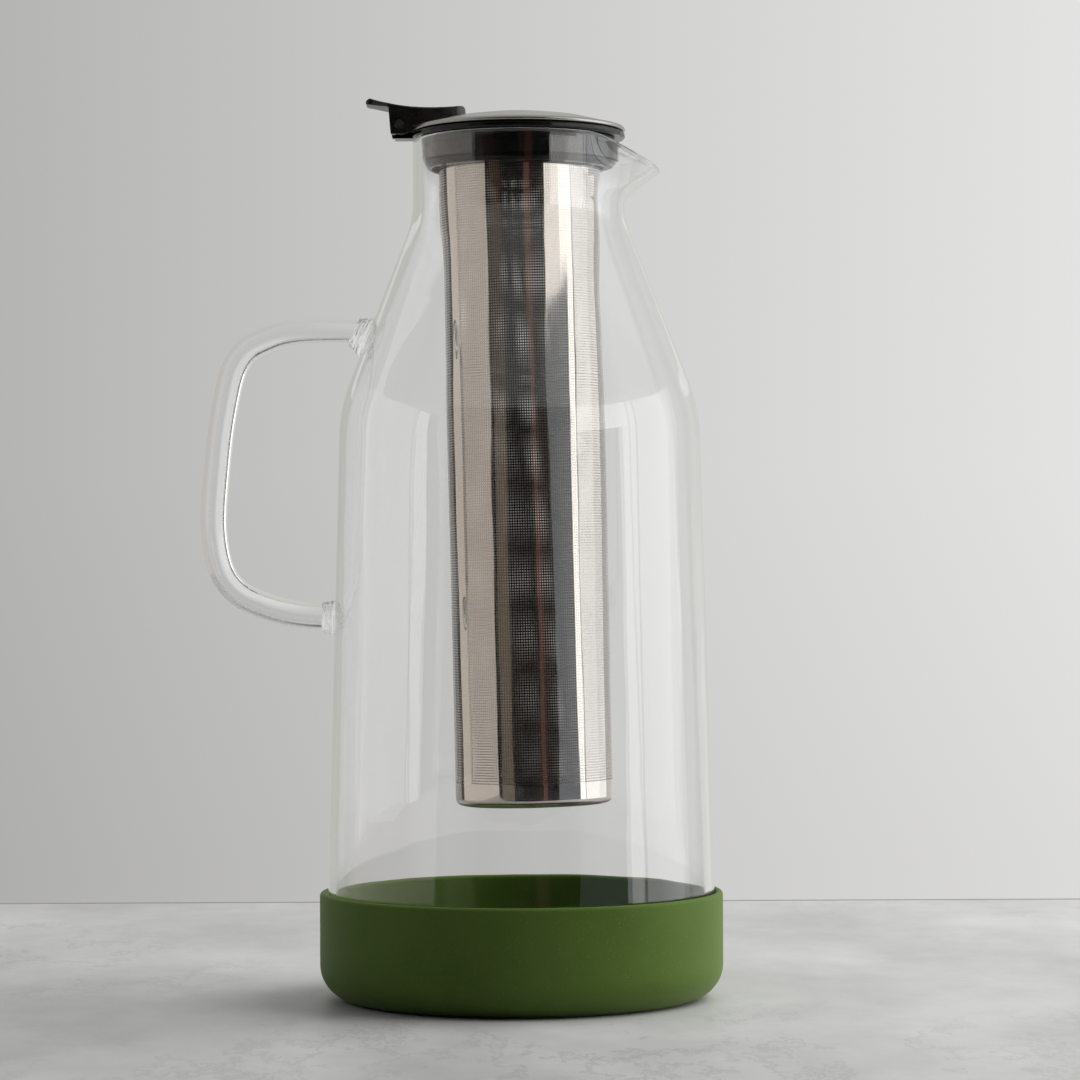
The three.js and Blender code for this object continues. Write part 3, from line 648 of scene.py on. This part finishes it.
def lever_plan():
    """Lever seen from above: widest at the hinge, with rounded ends."""
    tail = PIN_X - LEVER_TAIL
    nose = PIN_X + LEVER_NOSE
    corner = LEVER_CORNER
    half, nose_half, tail_half = LEVER_WIDTH / 2, LEVER_NOSE_WIDTH / 2, LEVER_TAIL_WIDTH / 2
    middle = PIN_X + LEVER_NOSE / 2
    nose_start = (nose - corner, -nose_half)
    nose_end = (nose, corner - nose_half)
    side = bend((PIN_X + LUG_RADIUS, -half), (middle, -half), nose_start)
    side += bend(nose_start, (nose, corner / 2 - nose_half), nose_end)[1:]
    side += [(x, -y) for x, y in reversed(side)]
    back = [(PIN_X - LUG_RADIUS, half)]
    back += bend((tail + corner, tail_half), (tail, tail_half), (tail, tail_half - corner))
    back += [(x, -y) for x, y in reversed(back)]
    return side + back


def lever_body():
    """The moulded lever with a pocket for the collar's lug, lying on the dome, all its edges rounded."""
    low = CAP_BOTTOM - LEVER_TAIL
    top = PIN_Z + LEVER_TAIL
    lever = prism("thumb_lever_body", lever_side(), -LEVER_WIDTH, LEVER_WIDTH)
    combined(lever, "INTERSECT", [prism("plan", lever_plan(), low, top, upright=True)])
    room = [(0, CAP_BOTTOM), (CAP_BEAD_REACH, CAP_BOTTOM)]
    room += arc((CAP_BEAD_REACH, CAP_BEAD_HEIGHT), CAP_BEAD + CLEARANCE, -QUARTER_TURN, QUARTER_TURN)
    dome = DOME_RADIUS + CLEARANCE
    room += arc((0, DOME_CENTRE), dome, math.degrees(math.acos(CAP_BEAD_REACH / dome)), QUARTER_TURN)
    pocket = arc((PIN_X, PIN_Z), LUG_RADIUS, 0, HALF_TURN)
    pocket += [(PIN_X - LEVER_TAIL, PIN_Z), (PIN_X - LEVER_TAIL, low)]
    pocket += [(-CAP_BEAD_REACH, low), (-CAP_BEAD_REACH, PIN_Z)]
    hole = arc((PIN_X, PIN_Z), PIN_HOLE, 0, FULL_TURN)[1:]
    combined(lever, "DIFFERENCE", [
        turned("dome_room", lambda _: room),
        prism("lug_pocket", pocket, -LUG_WIDTH / 2, LUG_WIDTH / 2),
        prism("pin_hole", hole, -LEVER_WIDTH, LEVER_WIDTH),
    ])
    remesh = lever.modifiers.new("even", "REMESH")
    remesh.mode = "VOXEL"
    remesh.voxel_size = LEVER_VOXEL * MILLIMETRE
    rounding = lever.modifiers.new("round", "SMOOTH")
    rounding.iterations = LEVER_SOFTENING
    applied(lever)
    return lever


def new_material(name):
    material = bpy.data.materials.new(name)
    material.use_nodes = True
    return material, Graph(material.node_tree)


def object_place(graph):
    return graph.add("TexCoord").outputs["Object"]


# Range that a noise rarely leaves. Each noise below is written as scale, detail and sometimes roughness, and
# each bump as depth in metres and strength
USUAL_RANGE = (0.3, 0.7)

# Silicone of the boot
SILICONE_TONES = (rgb(0.078, 0.134, 0.019), rgb(0.093, 0.155, 0.026))
SILICONE_CLOUD = (40, 4)
SILICONE_CLOUD_RANGE = (0.35, 0.65)
SILICONE_ROUGHNESS = (0.5, 0.6)
SILICONE_GLOSS = 0.2
SILICONE_SHEEN = 0.1
SILICONE_SHEEN_ROUGHNESS = 0.45
SILICONE_SHEEN_TINT = rgb(0.82, 0.95, 0.6)
SILICONE_GRAIN = (3500, 2)
SILICONE_GRAIN_BUMP = (0.00003, 0.5)
DUST = (2300, 0)
DUST_RANGE = (0.74, 0.8)
DUST_SHARE = 0.35
DUST_TONE = rgb(0.25, 0.3, 0.17)


def silicone_material():
    """Matte silicone with a moulded grain, a cloudy tint and a little dust."""
    material, graph = new_material("green_silicone_matte")
    place = object_place(graph)
    cloud = graph.noise(place, *SILICONE_CLOUD)
    colour = graph.mix(graph.span(cloud, *SILICONE_CLOUD_RANGE), *SILICONE_TONES)
    dust = graph.span(graph.noise(place, *DUST), *DUST_RANGE)
    colour = graph.mix(graph.math("MULTIPLY", dust, DUST_SHARE), colour, DUST_TONE)
    grain = graph.noise(place, *SILICONE_GRAIN)
    shader = graph.add("BsdfPrincipled", {
        "Base Color": colour,
        "Roughness": graph.span(cloud, *USUAL_RANGE, *SILICONE_ROUGHNESS),
        "Specular IOR Level": SILICONE_GLOSS,
        "Sheen Weight": SILICONE_SHEEN,
        "Sheen Roughness": SILICONE_SHEEN_ROUGHNESS,
        "Sheen Tint": SILICONE_SHEEN_TINT,
        "Normal": graph.bump(grain, *SILICONE_GRAIN_BUMP),
    })
    graph.finish(shader)
    return material


# Glass, whose waves are longer along the upright axis
GLASS_TINT = rgb(0.995, 0.997, 0.995)
GLASS_IOR = 1.47
GLASS_WAVES = (50, 50, 35)
GLASS_WAVE_NOISE = (1, 1)
GLASS_WAVE_BUMP = (0.0004, 0.35)
GLASS_SHADOW_TONE = grey(0.97)
TRAPPED_BOUNCES = 2.5


def glass_material():
    """Clear blown glass with slow waves. Light that falls through it isn't bent, and light that is trapped
    in its wall leaves it."""
    material, graph = new_material("blown_glass")
    place = object_place(graph)
    waves = graph.noise(graph.stretched(place, GLASS_WAVES), *GLASS_WAVE_NOISE)
    shader = graph.add("BsdfPrincipled", {
        "Base Color": GLASS_TINT,
        "Roughness": 0.0,
        "IOR": GLASS_IOR,
        "Transmission Weight": 1.0,
        "Normal": graph.bump(waves, *GLASS_WAVE_BUMP),
    })
    clear = graph.add("BsdfTransparent", {"Color": GLASS_SHADOW_TONE})
    path = graph.add("LightPath").outputs
    trapped = graph.math("GREATER_THAN", path["Glossy Depth"], TRAPPED_BOUNCES)
    straight = graph.math("MAXIMUM", path["Is Shadow Ray"], path["Is Diffuse Ray"])
    straight = graph.math("MAXIMUM", straight, trapped)
    surface = graph.add("MixShader", {0: straight, 1: shader.outputs[0], 2: clear.outputs[0]})
    graph.finish(surface)
    return material


def perforation(graph, place):
    """1 in the holes of the infuser's tube and 0 on its metal."""
    x, y, z = graph.parts(place)
    turn = graph.math("DIVIDE", graph.math("ARCTAN2", y, x), math.tau)

    def near_middle(value, share):
        fraction = graph.math("FRACT", value)
        distance = graph.math("ABSOLUTE", graph.math("SUBTRACT", fraction, MIDDLE))
        return graph.math("LESS_THAN", distance, share / 2)

    column = near_middle(graph.math("MULTIPLY", turn, float(HOLE_COLUMNS)), HOLE_WIDTH_SHARE)
    height = graph.math("SUBTRACT", z, HOLES_START * MILLIMETRE)
    row = near_middle(graph.math("DIVIDE", height, HOLE_ROW * MILLIMETRE), HOLE_HEIGHT_SHARE)
    seam_share = SEAM_WIDTH / (math.tau * TUBE_RADIUS)
    seam = near_middle(graph.math("ADD", turn, MIDDLE - SEAM_TURN), seam_share)
    holes = graph.math("MULTIPLY", column, row)
    holes = graph.math("MULTIPLY", holes, graph.math("SUBTRACT", 1.0, seam))
    return graph.math("MULTIPLY", holes, graph.math("GREATER_THAN", height, 0.0))


# Polished steel
MIRROR_TONES = (rgb(0.615, 0.578, 0.535), rgb(0.665, 0.625, 0.585))
MIRROR_WAVES = (60, 60, 9)
MIRROR_NOISE = (1, 2)
MIRROR_WAVE_BUMP = (0.0009, 0.45)
MIRROR_RUBBING = (900, 900, 90)
MIRROR_ROUGHNESS = (0.03, 0.065)


def mirror_steel(name, perforated):
    """Polished sheet that is slightly wavy from rolling, with fine rubbed marks."""
    material, graph = new_material(name)
    place = object_place(graph)
    waves = graph.noise(graph.stretched(place, MIRROR_WAVES), *MIRROR_NOISE)
    rubbed = graph.noise(graph.stretched(place, MIRROR_RUBBING), *MIRROR_NOISE)
    inputs = {
        "Base Color": graph.mix(graph.span(waves, *USUAL_RANGE), *MIRROR_TONES),
        "Metallic": 1.0,
        "Roughness": graph.span(rubbed, *USUAL_RANGE, *MIRROR_ROUGHNESS),
        "Normal": graph.bump(waves, *MIRROR_WAVE_BUMP),
    }
    if perforated:
        inputs["Alpha"] = graph.math("SUBTRACT", 1.0, perforation(graph, place))
        middle_of_wall = (TUBE_RADIUS - TUBE_WALL / 2) * MILLIMETRE
        inside = graph.math("LESS_THAN", graph.reach(place), middle_of_wall)
        inputs["Roughness"] = graph.math("MULTIPLY_ADD", inside, INSIDE_ROUGHNESS, inputs["Roughness"])
    graph.finish(graph.add("BsdfPrincipled", inputs))
    return material


# Brushed steel: brush marks per metre outwards and per radian round the axis
BRUSHED_RINGS = 5200
BRUSHED_LENGTH = 1.5
BRUSHED_NOISE = (1, 3, 0.7)
BRUSHED_DARKENING = 0.92
BRUSHED_ROUGHNESS_SPREAD = (-0.05, 0.07)
BRUSHED_ANISOTROPY = 0.5
BRUSHED_BUMP = (0.000006, 0.6)


def brushed_steel(name, colour, roughness):
    """Satin steel, brushed in rings round the upright axis."""
    material, graph = new_material(name)
    place = object_place(graph)
    x, y, _ = graph.parts(place)
    across = graph.math("MULTIPLY", graph.reach(place), BRUSHED_RINGS)
    around = graph.math("MULTIPLY", graph.math("ARCTAN2", y, x), BRUSHED_LENGTH)
    rings = graph.add("CombineXYZ", {0: across, 1: around})
    brushing = graph.noise(rings.outputs[0], *BRUSHED_NOISE)
    darker = rgb(*(BRUSHED_DARKENING * value for value in colour))
    spread = [roughness + value for value in BRUSHED_ROUGHNESS_SPREAD]
    graph.finish(graph.add("BsdfPrincipled", {
        "Base Color": graph.mix(brushing, darker, rgb(*colour)),
        "Metallic": 1.0,
        "Roughness": graph.span(brushing, *USUAL_RANGE, *spread),
        "Anisotropic": BRUSHED_ANISOTROPY,
        "Normal": graph.bump(brushing, *BRUSHED_BUMP),
    }))
    return material


# Black plastic and silicone
BLACK_GRAIN_DETAIL = 2
BLACK_GRAIN_BUMP = (0.00002, 0.4)
BLACK_WEAR = (220, 5, 0.65)
BLACK_WEAR_RANGE = (0.45, 0.75)
BLACK_WEAR_LIGHTENING = 1.7
BLACK_ROUGHNESS_SPREAD = (-0.05, 0.08)


def black_material(name, tone, roughness, gloss, grain_scale):
    """Black plastic or silicone with a fine grain and faint wear."""
    material, graph = new_material(name)
    place = object_place(graph)
    grain = graph.noise(place, grain_scale, BLACK_GRAIN_DETAIL)
    wear = graph.noise(place, *BLACK_WEAR)
    spread = [roughness + value for value in BLACK_ROUGHNESS_SPREAD]
    worn = graph.span(wear, *BLACK_WEAR_RANGE)
    graph.finish(graph.add("BsdfPrincipled", {
        "Base Color": graph.mix(worn, grey(tone), grey(tone * BLACK_WEAR_LIGHTENING)),
        "Roughness": graph.span(wear, *USUAL_RANGE, *spread),
        "Specular IOR Level": gloss,
        "Normal": graph.bump(grain, *BLACK_GRAIN_BUMP),
    }))
    return material


# Stone of the table, whose clouds, patches and veins are longer from front to back
STONE_TONES = (rgb(0.5, 0.497, 0.49), rgb(0.68, 0.677, 0.67))
STONE_CLOUDS = (11, 7, 1)
STONE_CLOUD_NOISE = (1, 8, 0.68)
STONE_CLOUD_RANGE = (0.36, 0.64)
STONE_PATCHES = (4, 3, 1)
STONE_PATCH_NOISE = (1, 3)
STONE_PATCH_RANGE = (0.45, 0.65)
STONE_VEINS = (14, 6, 1)
STONE_VEIN_NOISE = (1, 9, 0.7)
STONE_VEIN_WIDTH = 0.016
STONE_VEIN_SHARE = 0.5
STONE_VEIN_TONE = grey(0.34)
STONE_ROUGHNESS = (0.42, 0.52)
STONE_GLOSS = 0.35
# Painted shadow along the table's back edge, where the gap to the wall is shaded: its strength and tone
GAP_SHADE_SHARE = 0.6
GAP_SHADE_TONE = grey(0.05)

# A count of bounces is above this once there has been one
ONE_BOUNCE = 0.5


def marble_material():
    """Honed pale stone with faint clouds and veins, and a thin painted shadow line along its back edge where
    it meets the wall.
    """
    material, graph = new_material("honed_stone")
    place = object_place(graph)
    clouds = graph.noise(graph.stretched(place, STONE_CLOUDS), *STONE_CLOUD_NOISE)
    patches = graph.noise(graph.stretched(place, STONE_PATCHES), *STONE_PATCH_NOISE)
    warp = graph.noise(graph.stretched(place, STONE_VEINS), *STONE_VEIN_NOISE)
    vein = graph.math("ABSOLUTE", graph.math("SUBTRACT", warp, MIDDLE))
    vein = graph.span(vein, 0.0, STONE_VEIN_WIDTH, 1.0, 0.0)
    vein = graph.math("MULTIPLY", vein, graph.span(patches, *STONE_PATCH_RANGE, 0.0, STONE_VEIN_SHARE))
    stone = graph.mix(graph.span(clouds, *STONE_CLOUD_RANGE), *STONE_TONES)
    stone = graph.mix(vein, stone, STONE_VEIN_TONE)
    x, y, _ = graph.parts(place)
    # Painted shade: a thin dark line along the back edge, standing in for the shadow in the gap to the wall
    gap_shade = graph.math("GREATER_THAN", y, TABLE_BACK - GAP_SHADE_WIDTH)
    stone = graph.mix(graph.math("MULTIPLY", gap_shade, GAP_SHADE_SHARE), stone, GAP_SHADE_TONE)
    shader = graph.add("BsdfPrincipled", {
        "Base Color": stone,
        "Roughness": graph.span(clouds, *USUAL_RANGE, *STONE_ROUGHNESS),
        "Specular IOR Level": STONE_GLOSS,
    })
    # Reflections show the room past the edges of a smaller table
    beside = graph.math("GREATER_THAN", graph.math("ABSOLUTE", x), TABLE_MIRRORED_SIDE)
    before = graph.math("LESS_THAN", y, -TABLE_MIRRORED_FRONT)
    mirrored = graph.math("GREATER_THAN", graph.add("LightPath").outputs["Glossy Depth"], ONE_BOUNCE)
    hidden = graph.math("MULTIPLY", graph.math("MAXIMUM", beside, before), mirrored)
    open_air = graph.add("BsdfTransparent")
    graph.finish(graph.add("MixShader", {0: hidden, 1: shader.outputs[0], 2: open_air.outputs[0]}))
    return material


# Black pieces: tone, roughness, gloss and scale of the grain
GLOSSY_PLASTIC = (0.004, 0.16, 0.35, 4000)
LEVER_PLASTIC = (0.005, 0.28, 0.7, 4000)
BLACK_SILICONE = (0.006, 0.15, 0.85, 3000)

# Brushed pieces: colour and roughness
PIN_STEEL = ((0.22, 0.215, 0.21), 0.3)
CAP_STEEL = ((0.47, 0.45, 0.432), 0.24)


def dress_node(name, material):
    """A CAD node with shared corners, smooth rounds, crisp edges and a material of its own."""
    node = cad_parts[name]
    for slot in node.material_slots:
        slot.material = material
    node.modifiers.new("join", "WELD").merge_threshold = JOIN_DISTANCE
    node.modifiers.new("crisp", "EDGE_SPLIT").split_angle = SMOOTH_ANGLE
    normals = node.modifiers.new("smooth", "WEIGHTED_NORMAL")
    normals.keep_sharp = True


def add_piece(piece, body, nodes, material):
    """Puts a piece on its body, in place of the nodes that it replaces."""
    piece.data.materials.clear()
    piece.data.materials.append(material)
    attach(piece, body)
    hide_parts(*nodes)


def build_pieces():
    """Turned, swept and moulded pieces over the solids that they replace, and the other nodes dressed."""
    mirror = mirror_steel("polished_steel", False)
    plastic = black_material("glossy_black_plastic", *GLOSSY_PLASTIC)
    lever_plastic = black_material("moulded_black_plastic", *LEVER_PLASTIC)
    rubber = black_material("moulded_black_silicone", *BLACK_SILICONE)
    pin = brushed_steel("turned_steel", *PIN_STEEL)

    boot = turned("boot_sleeve", boot_outline)
    add_piece(boot, "boot", ["base_sleeve"], silicone_material())

    carafe = turned("carafe_glass", glass_outline, uv_shares=BODY_SHARES)
    combined(carafe, "UNION", [
        handle_rod(),
        weld("upper_bead", UPPER_WELD, UPPER_WELD_SHARES),
        weld("lower_bead", LOWER_WELD, LOWER_WELD_SHARES),
    ])
    add_piece(carafe, "carafe", ["glass_carafe", "carafe_handle"], glass_material())

    infuser = turned("infuser_body", infuser_outline)
    hang = Matrix.Translation((0, 0, LEAN_HEIGHT * MILLIMETRE))
    infuser.matrix_world = hang @ Matrix.Rotation(-LEAN, 4, "Y") @ hang.inverted()
    perforated = mirror_steel("perforated_steel", True)
    add_piece(infuser, "infuser", ["infuser_tube", "infuser_base"], perforated)

    cap = turned("lid_shell", cap_outline)
    add_piece(cap, "lid", ["lid_cap"], brushed_steel("brushed_cap_steel", *CAP_STEEL))

    add_piece(lever_body(), "lid", ["thumb_lever"], lever_plastic)

    dress_node("infuser_rim", mirror)
    dress_node("lid_collar", plastic)
    dress_node("lid_liner", plastic)
    dress_node("collar_gasket", rubber)
    dress_node("lid_seal", rubber)
    for name in ("hinge_pin", "lever_screw_left", "lever_screw_right"):
        dress_node(name, pin)


def build_stage():
    """The table top on which the object stands."""
    corners = [
        (-TABLE_HALF_WIDTH, TABLE_FRONT, 0), (TABLE_HALF_WIDTH, TABLE_FRONT, 0),
        (TABLE_HALF_WIDTH, TABLE_BACK, 0), (-TABLE_HALF_WIDTH, TABLE_BACK, 0),
    ]
    mesh = bpy.data.meshes.new("table_top")
    mesh.from_pydata(corners, [], [(0, 1, 2, 3)])
    table = bpy.data.objects.new("table_top", mesh)
    bpy.context.scene.collection.objects.link(table)
    mesh.materials.append(marble_material())


def build_camera():
    """A camera at half the height of the object, which looks slightly upwards and leans a little."""
    data = bpy.data.cameras.new("camera")
    data.lens = FOCAL_PIXELS / PICTURE_PIXELS * SENSOR_WIDTH
    data.sensor_width = SENSOR_WIDTH
    camera = bpy.data.objects.new("camera", data)
    bpy.context.scene.collection.objects.link(camera)
    pitch = math.atan(HORIZON_PIXELS_BELOW_CENTRE / FOCAL_PIXELS)
    turn = Matrix.Rotation(UPRIGHT + pitch, 4, "X") @ Matrix.Rotation(-CAMERA_ROLL, 4, "Z")
    camera.matrix_world = Matrix.Translation(EYE) @ turn
    bpy.context.scene.camera = camera


# Lamps: name, direction as azimuth from +X towards +Y and elevation in degrees, distance, size, and how
# brightly a white surface that faces it shows
LAMPS = [
    ("key", 10, 34, 1.2, 1.5, 1.6),
    ("fill", 180, 35, 1.2, 0.8, 0.13),
    ("top", 90, 60, 1.2, 1.2, 0.24),
]


def build_lamps():
    """Lamps for matte surfaces, which polished ones don't show."""
    for name, azimuth, elevation, distance, size, level in LAMPS:
        data = bpy.data.lights.new(name, "AREA")
        data.size = size
        data.energy = level * math.pi ** 2 * distance ** 2
        lamp = bpy.data.objects.new(name, data)
        bpy.context.scene.collection.objects.link(lamp)
        across, up = math.radians(azimuth), math.radians(elevation)
        turn = Matrix.Rotation(across, 4, "Z") @ Matrix.Rotation(UPRIGHT - up, 4, "Y")
        lamp.matrix_world = turn @ Matrix.Translation((0, 0, distance))
        lamp.visible_camera = False
        lamp.visible_glossy = False
        lamp.visible_transmission = False


# What polished surfaces see of the room, by the angle in degrees round the upright axis from the viewer's
# side towards +X: the angle from which a tone holds, and the tone low down, higher up and overhead. The ramps
# hold tones up to 1, so they are divided by a scale there
ROOM_SCALE = 4
ROOM = [
    (-180, (0.34, 0.34, 0.34), (0.34, 0.34, 0.34), (0.4, 0.4, 0.4)),
    (-150, (0.3, 0.3, 0.3), (0.3, 0.3, 0.3), (0.4, 0.4, 0.4)),
    (-134, (0.03, 0.03, 0.03), (0.03, 0.03, 0.03), (0.3, 0.3, 0.3)),
    (-126, (0.71, 0.655, 0.61), (0.71, 0.655, 0.61), (0.6, 0.58, 0.57)),
    (-51, (0.008, 0.008, 0.008), (0.008, 0.008, 0.008), (0.05, 0.05, 0.05)),
    (-46, (0.17, 0.145, 0.115), (0.05, 0.03, 0.025), (0.05, 0.05, 0.05)),
    (-29, (0.008, 0.008, 0.008), (0.008, 0.008, 0.008), (0.05, 0.05, 0.05)),
    (8, (0.13, 0.06, 0.05), (0.13, 0.06, 0.05), (0.05, 0.05, 0.05)),
    (15, (0.012, 0.012, 0.012), (0.012, 0.012, 0.012), (0.05, 0.05, 0.05)),
    (35, (0.2, 0.22, 0.25), (1.75, 1.71, 1.65), (0.6, 0.6, 0.6)),
    (56, (0.2, 0.22, 0.25), (2.5, 2.45, 2.4), (0.9, 0.9, 0.9)),
    (68, (2.3, 2.3, 2.3), (2.5, 2.5, 2.5), (0.9, 0.9, 0.9)),
    (77.5, (0.08, 0.08, 0.08), (0.08, 0.08, 0.08), (0.3, 0.3, 0.3)),
    (80, (1.7, 1.72, 1.75), (1.7, 1.72, 1.75), (1.1, 1.1, 1.1)),
    (110, (1.45, 1.47, 1.49), (1.45, 1.47, 1.49), (1, 1, 1)),
    (132, (0.75, 0.75, 0.75), (0.75, 0.75, 0.75), (0.6, 0.6, 0.6)),
]

# Where the tones change: the low step is the upright part of the direction, with a slant towards +X, and the
# others are elevations in degrees
LOW_STEP = 0.0665
LOW_STEP_SLANT = 0.04
HIGH_STEP = 25
CEILING = 0.4
CEILING_STEPS = (50, 65)

# Wall behind the table: its tone follows the direction's part towards +X, as far as a limit that is narrower
# through the glass than beside it, and gets a little darker and warmer downwards
WALL_LIMITS = (0.075, 0.25)
WALL_SLOPE = 1.03
WALL_MIDDLE = 0.612
WALL_LOW_RANGE = (-0.08, 0.03)
WALL_TONES = (rgb(0.93, 0.925, 0.91), rgb(1.0, 1.0, 0.99))

# Left side of the room, as outer surfaces reflect it
LEFT_LIMIT = -0.62
LEFT_SHARE = 0.5
LEFT_TONE = grey(0.3)

# Light that runs along inside a glass wall: it has passed fewer surfaces than the first number, and has been
# reflected more often than the second or comes from behind or above. Its tones run from -X to +X, and a small
# window at the back makes a glint
EDGE_PASSES = 3.5
EDGE_BOUNCES = 1.5
EDGE_DEPTH = 0.48
EDGE_HEIGHT = 0.35
EDGE_SPAN = (-0.5, 0.5)
EDGE_TONES = (rgb(0.51, 0.515, 0.48), rgb(0.62, 0.625, 0.585))
EDGE_SHARE = 0.85
GLINT_HEIGHTS = (11, 14)
GLINT_SIDES = (0.81, 0.92)
GLINT_SHARE = 0.6
GLINT_TONE = grey(1.0)

# Faint even light on matte surfaces, from low down to straight above
AMBIENT_RANGE = (0.1, 1.0)
AMBIENT_TONES = (grey(0.02), grey(0.045))


def rises(*elevations):
    """The upright parts of directions at these elevations."""
    return [math.sin(math.radians(elevation)) for elevation in elevations]


def room_tone(graph, x, y, z):
    """The room as polished steel reflects it."""
    turn = graph.math("ARCTAN2", x, graph.math("MULTIPLY", y, -1.0))
    share = graph.math("ADD", graph.math("DIVIDE", turn, math.tau), MIDDLE)

    def ramp(column):
        node = graph.add("ValToRGB", {0: share})
        elements = node.color_ramp.elements
        node.color_ramp.interpolation = "CONSTANT"
        while len(elements) < len(ROOM):
            elements.new(1.0)
        for element, row in zip(elements, ROOM):
            element.position = (row[0] + HALF_TURN) / FULL_TURN
            element.color = rgb(*(value / ROOM_SCALE for value in row[column]))
        return node.outputs[0]

    low_step = graph.math("MULTIPLY_ADD", x, LOW_STEP_SLANT, LOW_STEP)
    room = graph.mix(graph.math("GREATER_THAN", z, low_step), ramp(1), ramp(2))
    room = graph.mix(graph.math("GREATER_THAN", z, *rises(HIGH_STEP)), room, ramp(3))
    room = graph.mix(graph.span(z, *rises(*CEILING_STEPS)), room, grey(CEILING / ROOM_SCALE))
    return graph.scaled(room, ROOM_SCALE)


def wall_tone(graph, path, x, z):
    """The wall behind the table, straight or through the glass."""
    limit = graph.span(path["Is Camera Ray"], 0.0, 1.0, *WALL_LIMITS)
    place = graph.math("MINIMUM", graph.math("MAXIMUM", x, graph.math("MULTIPLY", limit, -1.0)), limit)
    wall = graph.mix(graph.span(z, *WALL_LOW_RANGE), *WALL_TONES)
    return graph.scaled(wall, graph.math("MULTIPLY_ADD", place, WALL_SLOPE, WALL_MIDDLE))


def mirrored_tone(graph, path, x, y, z):
    """What is seen in reflections, on outer surfaces and through the glass."""
    # Outer surfaces reflect the left side of the room more faintly than the steel behind the glass
    entered = graph.math("GREATER_THAN", path["Transmission Depth"], ONE_BOUNCE)
    left = graph.math("LESS_THAN", x, LEFT_LIMIT)
    left = graph.math("MULTIPLY", left, graph.math("SUBTRACT", 1.0, entered))
    room = graph.mix(graph.math("MULTIPLY", left, LEFT_SHARE), room_tone(graph, x, y, z), LEFT_TONE)

    # Light that runs along inside a glass wall comes from the pale surroundings
    first_wall = graph.math("LESS_THAN", path["Transmission Depth"], EDGE_PASSES)
    repeated = graph.math("GREATER_THAN", path["Glossy Depth"], EDGE_BOUNCES)
    repeated = graph.math("MULTIPLY", entered, repeated)
    behind = graph.math("GREATER_THAN", y, EDGE_DEPTH)
    behind = graph.math("MAXIMUM", behind, graph.math("GREATER_THAN", z, EDGE_HEIGHT))
    edge = graph.math("MULTIPLY", first_wall, graph.math("MAXIMUM", repeated, behind))
    edge_tone = graph.mix(graph.span(x, *EDGE_SPAN), *EDGE_TONES)
    glint = graph.math("MULTIPLY", graph.between(z, rises(*GLINT_HEIGHTS)), graph.between(y, GLINT_SIDES))
    glint = graph.math("MULTIPLY", glint, entered)
    edge_tone = graph.mix(graph.math("MULTIPLY", glint, GLINT_SHARE), edge_tone, GLINT_TONE)
    return graph.mix(graph.math("MULTIPLY", edge, EDGE_SHARE), room, edge_tone)


def build_world():
    """Plain wall behind the table, a darker room in reflections, and faint even light on matte surfaces."""
    world = bpy.data.worlds.new("room")
    world.use_nodes = True
    bpy.context.scene.world = world
    graph = Graph(world.node_tree)
    x, y, z = graph.parts(graph.add("TexCoord").outputs["Generated"])
    path = graph.add("LightPath").outputs
    unmirrored = graph.math("LESS_THAN", path["Glossy Depth"], ONE_BOUNCE)
    unscattered = graph.math("LESS_THAN", path["Diffuse Depth"], ONE_BOUNCE)
    through = graph.math("MULTIPLY", path["Is Transmission Ray"], unmirrored)
    seen = graph.math("MAXIMUM", path["Is Camera Ray"], graph.math("MULTIPLY", through, unscattered))
    mirrored = graph.math("MULTIPLY", graph.math("SUBTRACT", 1.0, unmirrored), unscattered)
    ambient = graph.mix(graph.span(z, *AMBIENT_RANGE), *AMBIENT_TONES)
    colour = graph.mix(mirrored, ambient, mirrored_tone(graph, path, x, y, z))
    colour = graph.mix(seen, colour, wall_tone(graph, path, x, z))
    background = graph.add("Background", {"Color": colour, "Strength": 1.0})
    graph.add("OutputWorld", {"Surface": background.outputs[0]})


# A new scene comes with these
for name in ("Cube", "Light", "Camera"):
    leftover = bpy.data.objects.get(name)
    if leftover:
        bpy.data.objects.remove(leftover)

bpy.context.scene.view_settings.view_transform = "Standard"
build_pieces()
build_stage()
build_camera()
build_lamps()
build_world()
